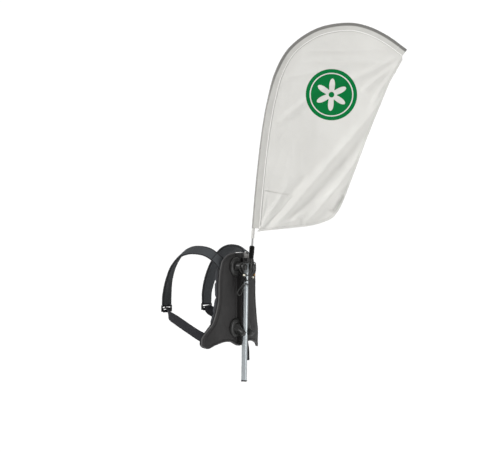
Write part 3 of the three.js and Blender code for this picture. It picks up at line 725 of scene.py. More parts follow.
horn_plastic = Finish("glossy_black_nylon", (30, 30, 29), 0.4, shine=0.4)
horn_plastic.color(horn_plastic.patches(30, (26, 26, 25), (34, 34, 33)))
horn_plastic.roughness(horn_plastic.mottle(90), 0.34, 0.48)
horn_plastic.bump(horn_plastic.mottle(1500), 0.00005)
steel = Finish("zinc_plated_steel", (165, 165, 163), 0.35, 1.0)
steel.color(steel.patches(60, (140, 139, 136), (182, 182, 180)))
steel.roughness(steel.mottle(200, 4), 0.26, 0.46)
steel.bump(steel.mottle(900), 0.00004)
outward = Matrix.Rotation(math.pi / 2, 4, "X")
for horn, side, height, droop in (("upper_left", -1, 0.146, 0.0), ("upper_right", 1, 0.146, 0.0),
                                  ("lower_left", -1, -0.092, lower_droop),
                                  ("lower_right", 1, -0.092, lower_droop)):
    reach = ((lower_reach if droop else upper_reach) + horn_base) / math.cos(droop) * 1000
    foot = Vector((side * horn_half_spacing, horn_base, height))
    flange_profile = softened([(0, 0), (37, 0), (37, 3.8), (34, 7.6), (28, 9.5), (0, 9.5)], 1.6)
    flange = turned("flange", flange_profile, 96, Matrix.Translation(foot) @ outward)
    flare = 6.0 if droop else 2.0
    peg_profile = softened([(0, -4), (15.5 + flare, -4), (15.5 + flare, 6), (14 + flare * 0.4, 14),
                            (13.2, 24), (12.2, reach - 7.15), (10.8, reach - 3.6),
                            (7.15, reach - 1), (0, reach)], 3, 6)
    peg = turned("peg", peg_profile, 64,
                 Matrix.Translation(foot) @ Matrix.Rotation(droop, 4, "X") @ outward)
    for part in (flange, peg):
        trimmed(part, (side * (rail_half + fit_gap), 0, 0), (-side, 0, 0))
        trimmed(part, (0, horn_base, 0), (0, 1, 0))
    put_on(joined("moulded_horn_" + horn, flange, peg), horn_plastic, "horn_plastic",
           "harness", "horn_" + horn)
    refinish("horn_bolt_" + horn, steel)

# ---- Shoulder straps ------------------------------------------------------------------------
# Flat foam straps in woven polyester, bound along both edges with tape and sewn down beside it.
# They leave the shell under its top edge and pass over the shoulders to the chest buckles.
strap_half, strap_half_thick = 0.0275, 0.005
shoulder_route = metres([(-78, -40, 146), (-91, -35, 165), (-107, -18.5, 187), (-118, 8, 204),
                         (-125, 48, 211), (-129, 86, 208), (-132, 122, 192), (-133, 162, 148),
                         (-130, 188, 92), (-126, 201, 38), (-126, 203, -6)])
shoulder_faces = [Vector(f) for f in (
    (-0.1, -0.95, 0.3), (-0.15, -0.88, 0.45), (-0.3, -0.6, 0.75), (-0.45, -0.2, 0.87), (-0.5, 0, 0.86),
    (-0.5, 0.12, 0.85), (-0.42, 0.5, 0.75), (-0.3, 0.87, 0.4), (-0.2, 0.97, 0.15), (-0.05, 0.99, 0.05),
    (0, 1, 0))]


def mirrored(places):
    return [Vector((-p.x, p.y, p.z)) for p in places]


def strap_section(half, thick, binding, pinch):
    """A padded strap's section: crowned faces that pull in to flat bound edges."""
    top = []
    for k in range(41):
        a = half * (k / 20 - 1)
        inner = min(1.0, (half - abs(a)) / binding)
        crown = thick * (pinch + (1 - pinch) * math.sqrt(max(0.0, 1 - (1 - inner) ** 2)))
        top.append((a, crown if half - abs(a) > 1e-9 else thick * pinch * 0.4))
    return [(a, -o) for a, o in top] + [(a, o) for a, o in reversed(top)]


def band_line(route, faces, count):
    shares = [i / (count - 1) for i in range(count)]
    return [curve_point(route, s) for s in shares], [curve_point(faces, s) for s in shares]


strap_cloth = Finish("woven_strap_cloth", (56, 58, 60), 0.85, shine=0.15, sheen=0.04)
around, along = strap_cloth.cut()
warp = strap_cloth.wave(around, 0.0016)
weft = strap_cloth.wave(along, 0.0016)
weave = strap_cloth.math("MULTIPLY", warp, weft)
# The section starts at one edge, so the map runs across the inner face, back over the outer.
face_run, stitch_inset, binding_width, seam_at = 0.0566, 0.0074, 0.0058, 0.056
wrapped = strap_cloth.math("PINGPONG", around, face_run)
from_edge = strap_cloth.math("PINGPONG", wrapped, face_run / 2)
stitch_line = strap_cloth.stripe(from_edge, stitch_inset, 0.00055)
stitch_gap = strap_cloth.math("GREATER_THAN", strap_cloth.wave(along, 0.0042), -0.55)
stitches = strap_cloth.math("MULTIPLY", stitch_line, stitch_gap)
binding = strap_cloth.math("LESS_THAN", from_edge, binding_width)
cloth_tint = strap_cloth.tint(strap_cloth.spread(weave, 0, 1, -1, 1), (54, 57, 59), (76, 79, 82))
bound_tint = strap_cloth.tint(binding, cloth_tint, (30, 31, 33))
cross_seam = strap_cloth.stripe(along, seam_at, 0.0011)
# Painted shade: the strap is painted darker from a little past the shell onward, over the shoulder.
painted_shade_over_shoulder = strap_cloth.spread(along, 0, 0.55, 0.075, 0.13)
shaded = strap_cloth.tint(painted_shade_over_shoulder, bound_tint, (44, 45, 47))
seamed = strap_cloth.tint(cross_seam, shaded, (24, 25, 26))
strap_cloth.color(strap_cloth.tint(stitches, seamed, (84, 86, 88)))
strap_cloth.bump(strap_cloth.math("SUBTRACT", 1.0, cross_seam), 0.0008)
strap_cloth.bump(weave, 0.00018)
strap_cloth.bump(stitches, 0.0005)
strap_cloth.bump(binding, 0.0006)
strap_cloth.bump(strap_cloth.mottle(50), 0.0012)
for side in ("left", "right"):
    route = shoulder_route if side == "left" else mirrored(shoulder_route)
    faces = shoulder_faces if side == "left" else mirrored(shoulder_faces)
    line, facings = band_line(route, faces, 181)
    strap = swept("bound_shoulder_strap_" + side, line,
                  strap_section(strap_half, strap_half_thick, 0.011, 0.42), facings)
    put_on(strap, strap_cloth, "strap_fabric", "harness", "shoulder_strap_" + side)

# ---- Lower webbing --------------------------------------------------------------------------
# Flat ribbed polyester webbing that runs from each chest buckle back round the waist and in
# behind the wing of the shell, and a narrower tail of it that hangs from the wearer's right.
webbing_route = metres([(-126, 198, -15), (-127.5, 196.5, -27), (-143, 176, -45), (-153, 132, -64),
                        (-160, 76, -90), (-165, 26, -113), (-163, -4, -127), (-152, -20.5, -138)])
webbing_faces = [Vector(f) for f in ((0, 1, 0), (-0.12, 1, 0), (-0.75, 0.65, 0), (-1, 0.1, 0), (-1, 0, 0),
                                     (-1, -0.05, 0), (-0.85, -0.5, 0), (-0.62, -0.78, 0))]
tail_route = metres([(62, -44, -128), (62, -45, -152), (63, -49, -178), (63, -52, -222)])
tail_faces = [Vector(f) for f in ((0, -1, 0), (0, -1, 0.1), (0, -1, 0.1), (0.1, -1, 0))]
webbing_weave = Finish("ribbed_webbing", (37, 37, 40), 0.8, shine=0.15, sheen=0.03)
around, along = webbing_weave.cut()
ribs = webbing_weave.wave(along, 0.0022)
picks = webbing_weave.wave(around, 0.0030)
ribbed = webbing_weave.math("ADD", ribs, webbing_weave.math("MULTIPLY", picks, 0.6))
webbing_weave.color(webbing_weave.tint(webbing_weave.spread(ribbed, 0, 1, -1.4, 1.4),
                                       (26, 26, 29), (42, 42, 46)))
webbing_weave.bump(ribbed, 0.00022)
webbing_weave.bump(webbing_weave.mottle(40), 0.0008)


def webbing_section(half, thick):
    flat = [(half - thick, -thick), (half - 0.3 * thick, -0.7 * thick), (half, 0),
            (half - 0.3 * thick, 0.7 * thick), (half - thick, thick)]
    return ([(x, -thick) for x in (-half * 0.5, 0, half * 0.5)] + flat
            + [(x, thick) for x in (half * 0.5, 0, -half * 0.5)] + [(-a, -o) for a, o in flat])


for side in ("left", "right"):
    route = webbing_route if side == "left" else mirrored(webbing_route)
    faces = webbing_faces if side == "left" else mirrored(webbing_faces)
    line, facings = band_line(route, faces, 120)
    put_on(swept("ribbed_lower_webbing_" + side, line, webbing_section(0.019, 0.001), facings),
           webbing_weave, "webbing", "harness", "lower_webbing_" + side)
line, facings = band_line(tail_route, tail_faces, 60)
put_on(swept("ribbed_webbing_tail", line, webbing_section(0.011, 0.0009), facings),
       webbing_weave, "webbing", "harness", "webbing_tail")

# ---- Chest adjusters ------------------------------------------------------------------------
# Moulded two-slot buckles. The round top bar pivots in the strap's end and the webbing is
# threaded through the slots.
buckle_plastic = Finish("satin_black_plastic", (18, 18, 19), 0.38, shine=0.22)
buckle_plastic.color(buckle_plastic.patches(25, (14, 14, 15), (22, 22, 23)))
buckle_plastic.roughness(buckle_plastic.mottle(150), 0.3, 0.48)
buckle_plastic.bump(buckle_plastic.mottle(1800), 0.00005)
top_loop_radius, foot_loop_deep, foot_loop_high = 0.0036, 0.0036, 0.0048
loop_rise = Vector((0, 0, 0.0046))
for side in ("left", "right"):
    refinish("strap_adjuster_" + side, buckle_plastic)
    nodes["strap_adjuster_" + side].data.set_sharp_from_angle(angle=math.radians(30))

    # The strap's own end is looped round the buckle's top bar, and the webbing round its foot bar.
    sign = -1 if side == "left" else 1
    top_bar = Vector((sign * 0.126, 0.203, -0.0091))
    bend = [top_bar + Vector((0, top_loop_radius * math.cos(t), -top_loop_radius * math.sin(t)))
            for t in (math.pi * k / 12 for k in range(13))]
    loop_line = [bend[0] + loop_rise] + bend + [bend[-1] + loop_rise]
    looks = [Vector((0, 1, 0))] + [p - top_bar for p in bend] + [Vector((0, -1, 0))]
    put_on(swept("strap_end_loop_" + side, loop_line, webbing_section(0.021, 0.0008), looks),
           webbing_weave, "webbing", "harness")
    foot_bar = Vector((sign * 0.126, 0.203, -0.0301))
    loop_line = [foot_bar + Vector((0, foot_loop_deep * math.cos(t), foot_loop_high * math.sin(t)))
                 for t in (2 * math.pi * k / 28 for k in range(29))]
    put_on(swept("webbing_loop_" + side, loop_line, webbing_section(0.019, 0.0008),
                 [p - foot_bar for p in loop_line]), webbing_weave, "webbing", "adjuster_" + side)

# ---- Tube -----------------------------------------------------------------------------------
# An anodised aluminium tube, 22 mm outside, drawn and cut square, with a plastic cap pushed on
# its foot and a plug with a threaded stud in its top. It lies in the rail between the horns.
tube_place = Matrix.Translation((0, -tube_standoff, 0)) @ Matrix.Rotation(tube_tilt, 4, "X")
anodised = Finish("anodised_aluminium", (172, 177, 179), 0.36, 1.0)
streaks = anodised.mottle(260, 3, (1, 1, 0.012))
anodised.color(anodised.tint(anodised.spread(streaks, 0, 1), (150, 155, 158), (174, 180, 182)))
anodised.roughness(streaks, 0.3, 0.42)
anodised.bump(streaks, 0.00003)
put_on(turned("drawn_tube", softened([(9.5, -297), (11, -297), (11, 160), (9.5, 160)], 0.4, 3), 96,
              tube_place, close=False), anodised, "tube_aluminium", "tube", "tube_pole")
put_on(turned("tube_foot_cap", softened([(0, -302), (11, -302), (12.2, -300.5), (12.2, -297.3),
                                         (9.2, -297.3), (8.6, -275), (0, -275)], 0.8), 64, tube_place),
       buckle_plastic, "black_plastic", "tube", "tube_end_cap")
put_on(turned("tube_top_plug_turned", softened([(0, 136), (9.2, 136), (9.2, 160.3), (11, 160.3), (11, 163),
                                                (6.5, 165), (6.5, 180), (3, 180), (3, 204), (0, 204)], 0.6),
              64, tube_place), buckle_plastic, "black_plastic", "tube", "tube_top_plug")

# ---- Mast holder ----------------------------------------------------------------------------
# A cast metal head clamped on the stud by a hex nut, with a short arm to a glossy rubber grip
# that the mast's foot drops into. A blackened steel stem screws into the grip from below.
mast_place = (Matrix.Translation((0, -0.1198, 0.203)) @ Matrix.Rotation(math.radians(-52), 4, "Z")
              @ Matrix.Rotation(math.radians(4), 4, "Y"))
cast_metal = Finish("cast_zinc", (150, 149, 147), 0.42, 1.0)
cast_metal.color(cast_metal.patches(80, (112, 111, 109), (160, 159, 157)))
cast_metal.roughness(cast_metal.mottle(160, 4), 0.32, 0.55)
cast_metal.bump(cast_metal.mottle(500, 4), 0.00012)
for node in ("holder_head", "holder_nut"):
    refinish(node, cast_metal)
    nodes[node].data.set_sharp_from_angle(angle=math.radians(30))
blackened = Finish("blackened_steel", (62, 61, 60), 0.36, 1.0)
blackened.color(blackened.patches(120, (46, 45, 44), (76, 75, 73)))
blackened.roughness(blackened.mottle(260, 4), 0.28, 0.48)
grip_rubber = Finish("glossy_grip_rubber", (3, 3, 3), 0.2, shine=0.08)
grip_rubber.roughness(grip_rubber.mottle(120), 0.12, 0.24)
grip_rubber.color(grip_rubber.patches(60, (6, 6, 6), (14, 14, 13)))
grip_rubber.bump(grip_rubber.mottle(300), 0.00008)
grip_profile = softened([(3.7, -16), (3.7, -24), (7.3, -24), (8.8, -22), (9.4, -10), (10.3, 14), (10.3, 20),
                         (8.3, 23), (6.4, 23), (6.4, -13), (3.7, -16)], 0.8)
put_on(turned("moulded_mast_grip", grip_profile, 64, mast_place),
       grip_rubber, "grip_rubber", "tube", "mast_grip")
stem_profile = softened([(0, -82), (2.4, -82), (3.4, -80.5), (3.4, -16.3), (0, -16.3)], 0.4)
put_on(turned("turned_holder_stem", stem_profile, 48, mast_place),
       blackened, "steel", "tube", "holder_stem")
put_on(turned("flanged_socket_bush", softened([(0, -12.7), (6.1, -12.7), (6.1, 23), (8.1, 23.3), (8.1, 25),
                                               (4.3, 25), (4.3, -10.7), (0, -10.7)], 0.4), 48, mast_place),
       buckle_plastic, "black_plastic", "swivel_bush", "socket_bush")

# ---- Mast -----------------------------------------------------------------------------------
# Two tapering glass fibre rods that meet in a plated ferrule. The upper rod is bent over by the
# flag's own sleeve, whose end pocket holds the tip.
mast_places = metres([(0, 0, -10.4), (0, 0, 90), (2, 0, 237), (6.5, 0, 375), (13.5, 0, 493),
                      (24.5, 0, 592), (46, 0, 702), (84.5, 0, 788), (136, 0, 843.5), (203, 0, 886),
                      (280, 0, 908), (342, 0, 912), (404, 0, 899.5), (472, 0, 870), (545, 0, 824.5)])
mast_course = curve_through(mast_places, 600)
mast_length = sum((b - a).length for a, b in zip(mast_course, mast_course[1:]))
mast_foot, ferrule_height = 0.0104, 0.572
mast_joint = (ferrule_height + mast_foot) / mast_length
ferrule_half = 0.022 / mast_length
glass_fibre = Finish("glass_fibre", (150, 150, 150), 0.38)
fibres = glass_fibre.mottle(500, 3, (1, 1, 0.03))
glass_fibre.color(glass_fibre.tint(glass_fibre.spread(fibres, 0, 1), (128, 128, 127), (172, 172, 171)))
glass_fibre.roughness(fibres, 0.3, 0.5)
glass_fibre.bump(fibres, 0.00005)


def mast_piece(name, span, rings, section, finish, slot, node):
    line = curve_through(mast_places, rings, span)
    made = swept(name, line, section, [Vector((0, -1, 0))] * rings)
    made.data.transform(mast_place)
    return put_on(made, finish, slot, "mast_and_flag", node)


gap_share = 0.0006 / mast_length
mast_piece("glass_fibre_mast_lower", (0, mast_joint - gap_share), 120, disc(0.004, 32), glass_fibre,
           "mast_fibreglass", "mast_lower")
mast_piece("glass_fibre_mast_upper", (mast_joint + gap_share, 0.98), 200, disc(0.0032, 28), glass_fibre,
           "mast_fibreglass", "mast_upper")
mast_piece("plated_mast_ferrule", (mast_joint - ferrule_half, mast_joint + ferrule_half), 24,
           disc(0.005, 32), steel, "steel", "mast_ferrule")
mast_piece("moulded_mast_tip", (0.98 + gap_share / 2, 0.984), 6, disc(0.0034, 24), buckle_plastic,
           "black_plastic", "mast_tip_cap")

# ---- Flag panel -----------------------------------------------------------------------------
# One layer of white knitted polyester, printed with a green roundel, sewn to the sleeve along
# the mast and hemmed along its free edge. It is pulled tight at the tip and at the foot.
sleeve_width, sleeve_foot, pocket_length = 0.027, 0.094, 0.034
sleeve_start = (sleeve_foot + mast_foot) / mast_length
pocket_share = pocket_length / mast_length
seam_inset = sleeve_width - 0.0015
cloth_half = 0.0004
free_table = spline_table([(533, 789), (511, 740), (490, 696.5), (452, 584), (414, 465.5), (376, 335.5),
                           (340, 219), (319, 175), (292, 147), (227, 120.5), (135, 103), (65, 91),
                           (14, 81)])[::-1]
rows_along, rows_across = 240, 96
mast_stations = 2001
mast_shares = np.linspace(0, 1, mast_stations)
mast_xz = np.array([(p.x, p.z) for p in curve_through(mast_places, mast_stations)])
mast_way = np.gradient(mast_xz, axis=0)
mast_way /= np.linalg.norm(mast_way, axis=1)[:, None]


def inset_line(shares, distance):
    """Places in the flag's plane a distance in from the mast's line, at shares of its length."""
    at = np.stack([np.interp(shares, mast_shares, mast_xz[:, k]) for k in (0, 1)], axis=1)
    way = np.stack([np.interp(shares, mast_shares, mast_way[:, k]) for k in (0, 1)], axis=1)
    return at + np.stack([way[:, 1], -way[:, 0]], axis=1) * distance


seam_shares = np.linspace(sleeve_start, 0.9985, rows_along + 1)
seam_line = inset_line(seam_shares, seam_inset)
free_run = np.concatenate([[0], np.cumsum(np.linalg.norm(np.diff(free_table, axis=0), axis=1))])
free_line = np.stack([np.interp(np.linspace(0, free_run[-1], rows_along + 1), free_run, free_table[:, k])
                      for k in (0, 1)], axis=1)
share_across = np.linspace(0, 1, rows_across + 1)
flat = (seam_line[:, None, :] * (1 - share_across)[None, :, None]
        + free_line[:, None, :] * share_across[None, :, None])
from_seam = np.linalg.norm(flat - seam_line[:, None, :], axis=2)
from_free = np.linalg.norm(flat - free_line[:, None, :], axis=2)


def fold(x, z, places, height, left, right, fade=(0.12, 0.12)):
    """A soft fold along a line given in millimetres: how far the cloth stands out at x, z. Its
    flanks reach left and right of the line, and it dies away over a share of each end."""
    points = [Vector((p[0], 0, p[1])) for p in places]
    line = np.array([(p.x, p.z) for p in curve_through(points, 90)]) * 0.001
    way = np.gradient(line, axis=0)
    gap = np.stack([x[..., None] - line[:, 0], z[..., None] - line[:, 1]], axis=-1)
    apart = np.linalg.norm(gap, axis=-1)
    near = apart.argmin(axis=-1)
    distance = apart.min(axis=-1)
    offset = np.take_along_axis(gap, near[..., None, None].repeat(2, -1), axis=-2)[..., 0, :]
    side = offset[..., 0] * way[near, 1] - offset[..., 1] * way[near, 0]
    width = np.where(side > 0, right, left)
    s = near / 89
    ends = np.clip(s / fade[0], 0, 1) * np.clip((1 - s) / fade[1], 0, 1)
    return height * ends * np.exp(-(distance / width) ** 2)


x, z = flat[..., 0], flat[..., 1]
main_ridge = [(22, 83), (66, 101), (113, 145), (161, 207), (283, 372), (376, 495), (440, 588), (484, 668)]
main_valley = [(90, 96), (201, 218), (330, 384), (404, 500), (452, 582), (492, 660)]
second_ridge = [(190, 118), (270, 214), (376, 378), (424, 468)]
foot_fade = (0.05, 0.5)
folds = [
    (main_ridge, 0.0130, 0.019, 0.034),
    (main_ridge, 0.0028, 0.007, 0.011),
    (main_valley, -0.0085, 0.026, 0.018),
    ([(60, 126), (119, 212), (196, 318)], -0.0046, 0.015, 0.011),
    (second_ridge, 0.0098, 0.015, 0.017),
    (second_ridge, 0.0024, 0.006, 0.008),
    ([(140, 117), (300, 259), (402, 367)], 0.0045, 0.016, 0.013),
    ([(338, 250), (320, 217), (296, 176)], -0.0110, 0.017, 0.013),
    ([(18, 95), (35, 186), (46, 265)], 0.0034, 0.008, 0.007, foot_fade),
    ([(18, 91), (78, 189), (131, 288)], 0.0052, 0.010, 0.008, foot_fade),
    ([(26, 90), (64, 142), (108, 216)], 0.0044, 0.010, 0.009, foot_fade),
    ([(60, 91), (130, 126), (214, 166)], 0.0036, 0.010, 0.008, foot_fade),
    ([(161, 113), (174, 156), (219, 121)], 0.0040, 0.012, 0.012),
    ([(541, 816), (485, 781), (373, 715), (221, 646), (56, 498)], 0.0050, 0.015, 0.011),
    ([(539, 793), (469, 733), (377, 649)], 0.0048, 0.013, 0.010),
    ([(528, 779), (474, 696), (420, 592)], 0.0038, 0.011, 0.009),
    ([(132, 796), (323, 809), (521, 830)], 0.0036, 0.011, 0.011),
    ([(135, 753), (373, 769), (524, 784)], 0.0036, 0.013, 0.013),
    ([(60, 681), (180, 712), (330, 750)], 0.0030, 0.015, 0.012)]
stands = sum(fold(x, z, *crease) for crease in folds)
slow = np.vectorize(lambda a, b: noise.noise(Vector((a * 9, b * 5, 1.7))))(x, z)
quick_waves = np.vectorize(lambda a, b: noise.noise(Vector((a * 42, b * 16, 4.2))))(x, z)
stands = stands + 0.004 * slow + 0.0007 * quick_waves
held = np.clip((from_seam - 0.002) / 0.03, 0, 1)
stands = stands * held * held * (3 - 2 * held)
hem_step = 0.0003 * (from_free < 0.012)

flag_vertices, flag_uvs, edge_uvs, flag_faces = [], [], [], []
for side in (-1, 1):
    for i in range(rows_along + 1):
        for j in range(rows_across + 1):
            thick = cloth_half + hem_step[i, j]
            flag_vertices.append((x[i, j], -stands[i, j] + side * thick, z[i, j]))
            flag_uvs.append((x[i, j], z[i, j]))
            edge_uvs.append((from_seam[i, j], from_free[i, j]))
wide = rows_across + 1
count = (rows_along + 1) * wide
for i in range(rows_along):
    for j in range(rows_across):
        low = i * wide + j
        quad = (low, low + 1, low + wide + 1, low + wide)
        flag_faces.append(quad)
        flag_faces.append(tuple(count + k for k in reversed(quad)))
rim = ([(0, j) for j in range(rows_across)] + [(i, rows_across) for i in range(rows_along)]
       + [(rows_along, j) for j in range(rows_across, 0, -1)] + [(i, 0) for i in range(rows_along, 0, -1)])
rim = [i * wide + j for i, j in rim]
for a, b in zip(rim, rim[1:] + rim[:1]):
    flag_faces.append((a, b, count + b, count + a))
flag = make_piece("printed_flag_panel", flag_vertices, flag_faces, flag_uvs, edge_uvs)
flag.data.transform(mast_place)

# The print: a green roundel with a thin plain ring and a six-petalled rosette left white.
roundel = (0.267, 0.634)
roundel_radius, ring_radius, hub_radius = 0.100, 0.083, 0.011
petal_reach, petal_swing = 0.042, 0.021
hem_width, hem_seam, knit_pitch = 0.0115, 0.0098, 0.0012
flag_cloth = Finish("white_knitted_polyester", (207, 206, 202), 0.78, shine=0.08)
across, up = flag_cloth.cut()
dx = flag_cloth.math("SUBTRACT", across, roundel[0])
dz = flag_cloth.math("SUBTRACT", up, roundel[1])
reach = flag_cloth.math("SQRT", flag_cloth.math(
    "ADD", flag_cloth.math("MULTIPLY", dx, dx), flag_cloth.math("MULTIPLY", dz, dz)))
petals = flag_cloth.math("COSINE", flag_cloth.math("MULTIPLY", flag_cloth.math("ARCTAN2", dx, dz), 6))
petal_edge = flag_cloth.math("ADD", flag_cloth.math("MULTIPLY", petals, petal_swing), petal_reach)
in_rosette = flag_cloth.math("LESS_THAN", reach, petal_edge)
past_hub = flag_cloth.math("GREATER_THAN", reach, hub_radius)
rosette = flag_cloth.math("MULTIPLY", in_rosette, past_hub)
ring = flag_cloth.stripe(reach, ring_radius, 0.0022)
white_part = flag_cloth.math("MAXIMUM", rosette, ring)
printed = flag_cloth.math("MULTIPLY", flag_cloth.math("LESS_THAN", reach, roundel_radius),
                          flag_cloth.math("SUBTRACT", 1.0, white_part))
from_free_uv = flag_cloth.cut("edges")[1]
knit = flag_cloth.math("MULTIPLY", flag_cloth.wave(across, knit_pitch), flag_cloth.wave(up, knit_pitch))
plain = flag_cloth.patches(6, (200, 199, 195), (206, 205, 201))
hemmed = flag_cloth.tint(flag_cloth.math("LESS_THAN", from_free_uv, hem_width), plain, (200, 199, 195))
sewn = flag_cloth.stripe(from_free_uv, hem_seam, 0.0006)
sewn_gap = flag_cloth.math("GREATER_THAN", flag_cloth.wave(up, 0.004), -0.5)
hem_stitches = flag_cloth.math("MULTIPLY", sewn, sewn_gap)
stitched = flag_cloth.tint(hem_stitches, hemmed, (182, 181, 177))
flag_cloth.color(flag_cloth.tint(printed, stitched, (0, 106, 52)))
flag_cloth.bump(knit, 0.00012)
flag_cloth.bump(hem_stitches, 0.0004)
flag_cloth.bump(flag_cloth.mottle(35, 4), 0.0014)
put_on(flag, flag_cloth, "flag_cloth", "mast_and_flag", "flag_panel")

# ---- Corner patch ---------------------------------------------------------------------------
# A second layer of the same cloth sewn on the outside of the foot corner to take the strain.
patch_places = [(31.5, 247), (146, 233), (98, 166), (44, 107), (29.5, 98)]
patch_outline = [Vector((p[0] * 0.001, p[1] * 0.001)) for p in patch_places]


def inside_patch(px, pz):
    inside = False
    for a, b in zip(patch_outline, patch_outline[1:] + patch_outline[:1]):
        if (a.y > pz) != (b.y > pz) and px < (b.x - a.x) * (pz - a.y) / (b.y - a.y) + a.x:
            inside = not inside
    return inside


kept = [[inside_patch(x[i, j], z[i, j]) for j in range(wide)] for i in range(rows_along + 1)]
patch_vertices, patch_uvs, patch_faces, index = [], [], [], {}
outer_level, inner_level = 0.0011, 0.0006
for level in (outer_level, inner_level):
    for i in range(rows_along + 1):
        for j in range(wide):
            index[level, i, j] = len(patch_vertices)
            patch_vertices.append((x[i, j], -stands[i, j] - cloth_half - level, z[i, j]))
            patch_uvs.append((x[i, j], z[i, j]))
cells = [(i, j) for i in range(rows_along) for j in range(rows_across)
         if kept[i][j] and kept[i + 1][j] and kept[i][j + 1] and kept[i + 1][j + 1]]
edge_count = {}
for i, j in cells:
    corners = [(i, j), (i, j + 1), (i + 1, j + 1), (i + 1, j)]
    patch_faces.append(tuple(index[outer_level, a, b] for a, b in corners))
    patch_faces.append(tuple(index[inner_level, a, b] for a, b in reversed(corners)))
    for a, b in zip(corners, corners[1:] + corners[:1]):
        edge_count.setdefault(frozenset((a, b)), []).append((a, b))
for pair in edge_count.values():
    if len(pair) == 1:
        a, b = pair[0]
        patch_faces.append((index[outer_level, *b], index[outer_level, *a],
                            index[inner_level, *a], index[inner_level, *b]))
patch = make_piece("sewn_corner_patch", patch_vertices, patch_faces, patch_uvs)
work = bmesh.new()
work.from_mesh(patch.data)
bmesh.ops.delete(work, geom=[v for v in work.verts if not v.link_faces], context="VERTS")
work.to_mesh(patch.data)
work.free()
patch.data.transform(mast_place)
patch_cloth = Finish("patch_polyester", (203, 202, 198), 0.75, shine=0.2)
across, up = patch_cloth.cut()
knit = patch_cloth.math("MULTIPLY", patch_cloth.wave(across, knit_pitch), patch_cloth.wave(up, knit_pitch))
patch_cloth.color(patch_cloth.patches(20, (199, 198, 194), (206, 205, 201)))
patch_cloth.bump(knit, 0.00012)
patch_cloth.bump(patch_cloth.mottle(60), 0.001)
put_on(patch, patch_cloth, "flag_cloth", "mast_and_flag", "corner_patch")

# ---- Sleeve, cuff and end pocket ------------------------------------------------------------
# A doubled band of stouter cloth folded round the mast and sewn to the panel, a gathered cuff
# round the mast below it and a closed pocket at the tip that the mast pushes into.
sleeve_round = 0.0062


def sleeve_section(count=18):
    """Across is out of the cloth's plane and out is away from the flag, as (across, out)."""
    places = []
    for k in range(count + 1):
        turn = math.pi * k / count
        places.append((sleeve_round * math.cos(turn), sleeve_round * math.sin(turn)))
    inner = [(-sleeve_round * 0.97, -0.002), (-sleeve_round * 0.8, -0.008), (-0.0030, -0.015),
             (-0.0016, -0.020), (-0.0011, -0.024), (-0.0011, -sleeve_width)]
    return places + inner + [(-a, o) for a, o in reversed(inner)]


section_places = sleeve_section()
section_run = sum(math.dist(a, b) for a, b in zip(section_places, section_places[1:] + section_places[:1]))
crown = math.pi * sleeve_round / 2


def sleeve_cloth(name, bend_start, bend_end):
    """Stout cloth painted darker where it is drawn over the mast, partly the grey mast showing through and
    partly painted shade, wider and darker past the bend's start.
    """
    cloth = Finish(name, (197, 196, 192), 0.8, shine=0.15)
    around, along = cloth.cut()
    from_crown = cloth.math("PINGPONG", cloth.math("SUBTRACT", around, crown), section_run / 2)
    bent = cloth.spread(along, 0, 1, bend_start, bend_end)
    reach = cloth.math("ADD", cloth.math("MULTIPLY", bent, 0.006), crown - 0.002)
    # Painted shade, with the mast showing through: a darker band round the mast's side of the sleeve.
    mast_through_and_painted_shade = cloth.math("SUBTRACT", 1.0, cloth.spread(
        cloth.math("SUBTRACT", from_crown, reach), 0, 1, 0.0, 0.003))
    base = cloth.patches(14, (186, 185, 181), (193, 192, 188))
    mast_and_shade_tint = cloth.tint(bent, (146, 145, 142), (116, 115, 112))
    thread = cloth.stripe(from_crown, section_run / 2 - 0.0042, 0.0015)
    cloth.color(cloth.tint(thread, cloth.tint(mast_through_and_painted_shade, base, mast_and_shade_tint), (232, 231, 228)))
    rib = cloth.wave(around, 0.0014)
    cloth.bump(rib, 0.0001)
    cloth.bump(thread, 0.0005)
    cloth.bump(cloth.mottle(40), 0.0012)
    return cloth


stout_cloth = sleeve_cloth("stout_sleeve_cloth", 0.48, 0.64)
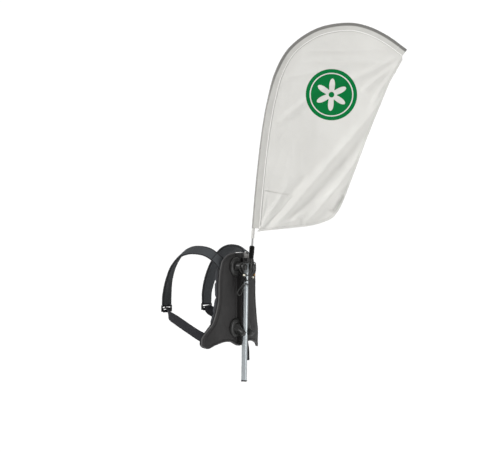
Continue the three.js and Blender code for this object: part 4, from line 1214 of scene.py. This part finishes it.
# Painted shade: the pocket's bend starts before its foot, so it gets the widest, darkest band all along.
pocket_cloth = sleeve_cloth("stout_pocket_cloth", -2.0, -1.0)


def cloth_ripple(i, across_place, out_place):
    if abs(out_place) > sleeve_width * 0.9:
        return across_place, out_place
    swell = 1 + 0.06 * noise.noise(Vector((across_place * 220, out_place * 160, i * 0.21)))
    return across_place * swell, out_place


def sleeve_piece(name, span, rings, node, slot, cloth):
    line = curve_through(mast_places, rings, span)
    away = []
    for i in range(rings):
        way = (line[min(i + 1, rings - 1)] - line[max(i - 1, 0)]).normalized()
        away.append(Vector((-way.z, 0, way.x)))
    made = swept(name, line, sleeve_section(), away, cloth_ripple)
    made.data.transform(mast_place)
    return put_on(made, cloth, slot, "mast_and_flag", node)


sleeve = sleeve_piece("folded_flag_sleeve", (sleeve_start, 1 - pocket_share), 320,
                      "flag_sleeve", "flag_cloth", stout_cloth)
sleeve_piece("sewn_sleeve_pocket", (1 - pocket_share + gap_share, 1), 14,
             "sleeve_end", "hem_cloth", pocket_cloth)
cuff_profile = softened([(4.3, 53.7), (6.3, 53.7), (6.5, 58), (6.1, 66), (6.4, 75), (6.1, 85),
                         (6.5, 93.7), (4.3, 93.7)], 0.6)
cuff = turned("gathered_sleeve_cuff", cuff_profile, 64, mast_place, close=False)
put_on(cuff, stout_cloth, "hem_cloth", "mast_and_flag", "sleeve_cuff")

# ---- Cord lock, beads and crimp -------------------------------------------------------------
# A spring cord lock with a push button clamps the outer loop. Bone coloured beads and a brass
# crimp are threaded on the same cord.
refinish("cord_lock_body", buckle_plastic)
refinish("cord_lock_button", buckle_plastic)
bone = Finish("bone_plastic", (226, 222, 206), 0.4)
bone.color(bone.patches(300, (214, 209, 190), (232, 229, 216)))
bone.bump(bone.mottle(700), 0.0001)
brass = Finish("drawn_brass", (180, 136, 76), 0.3, 1.0)
brass.color(brass.patches(400, (150, 108, 58), (196, 152, 90)))
brass.roughness(brass.mottle(500), 0.22, 0.42)
for node, finish in (("lash_bead_left", bone), ("lash_bead_right", bone), ("lash_crimp", brass)):
    refinish(node, finish)
    nodes[node].data.shade_smooth()
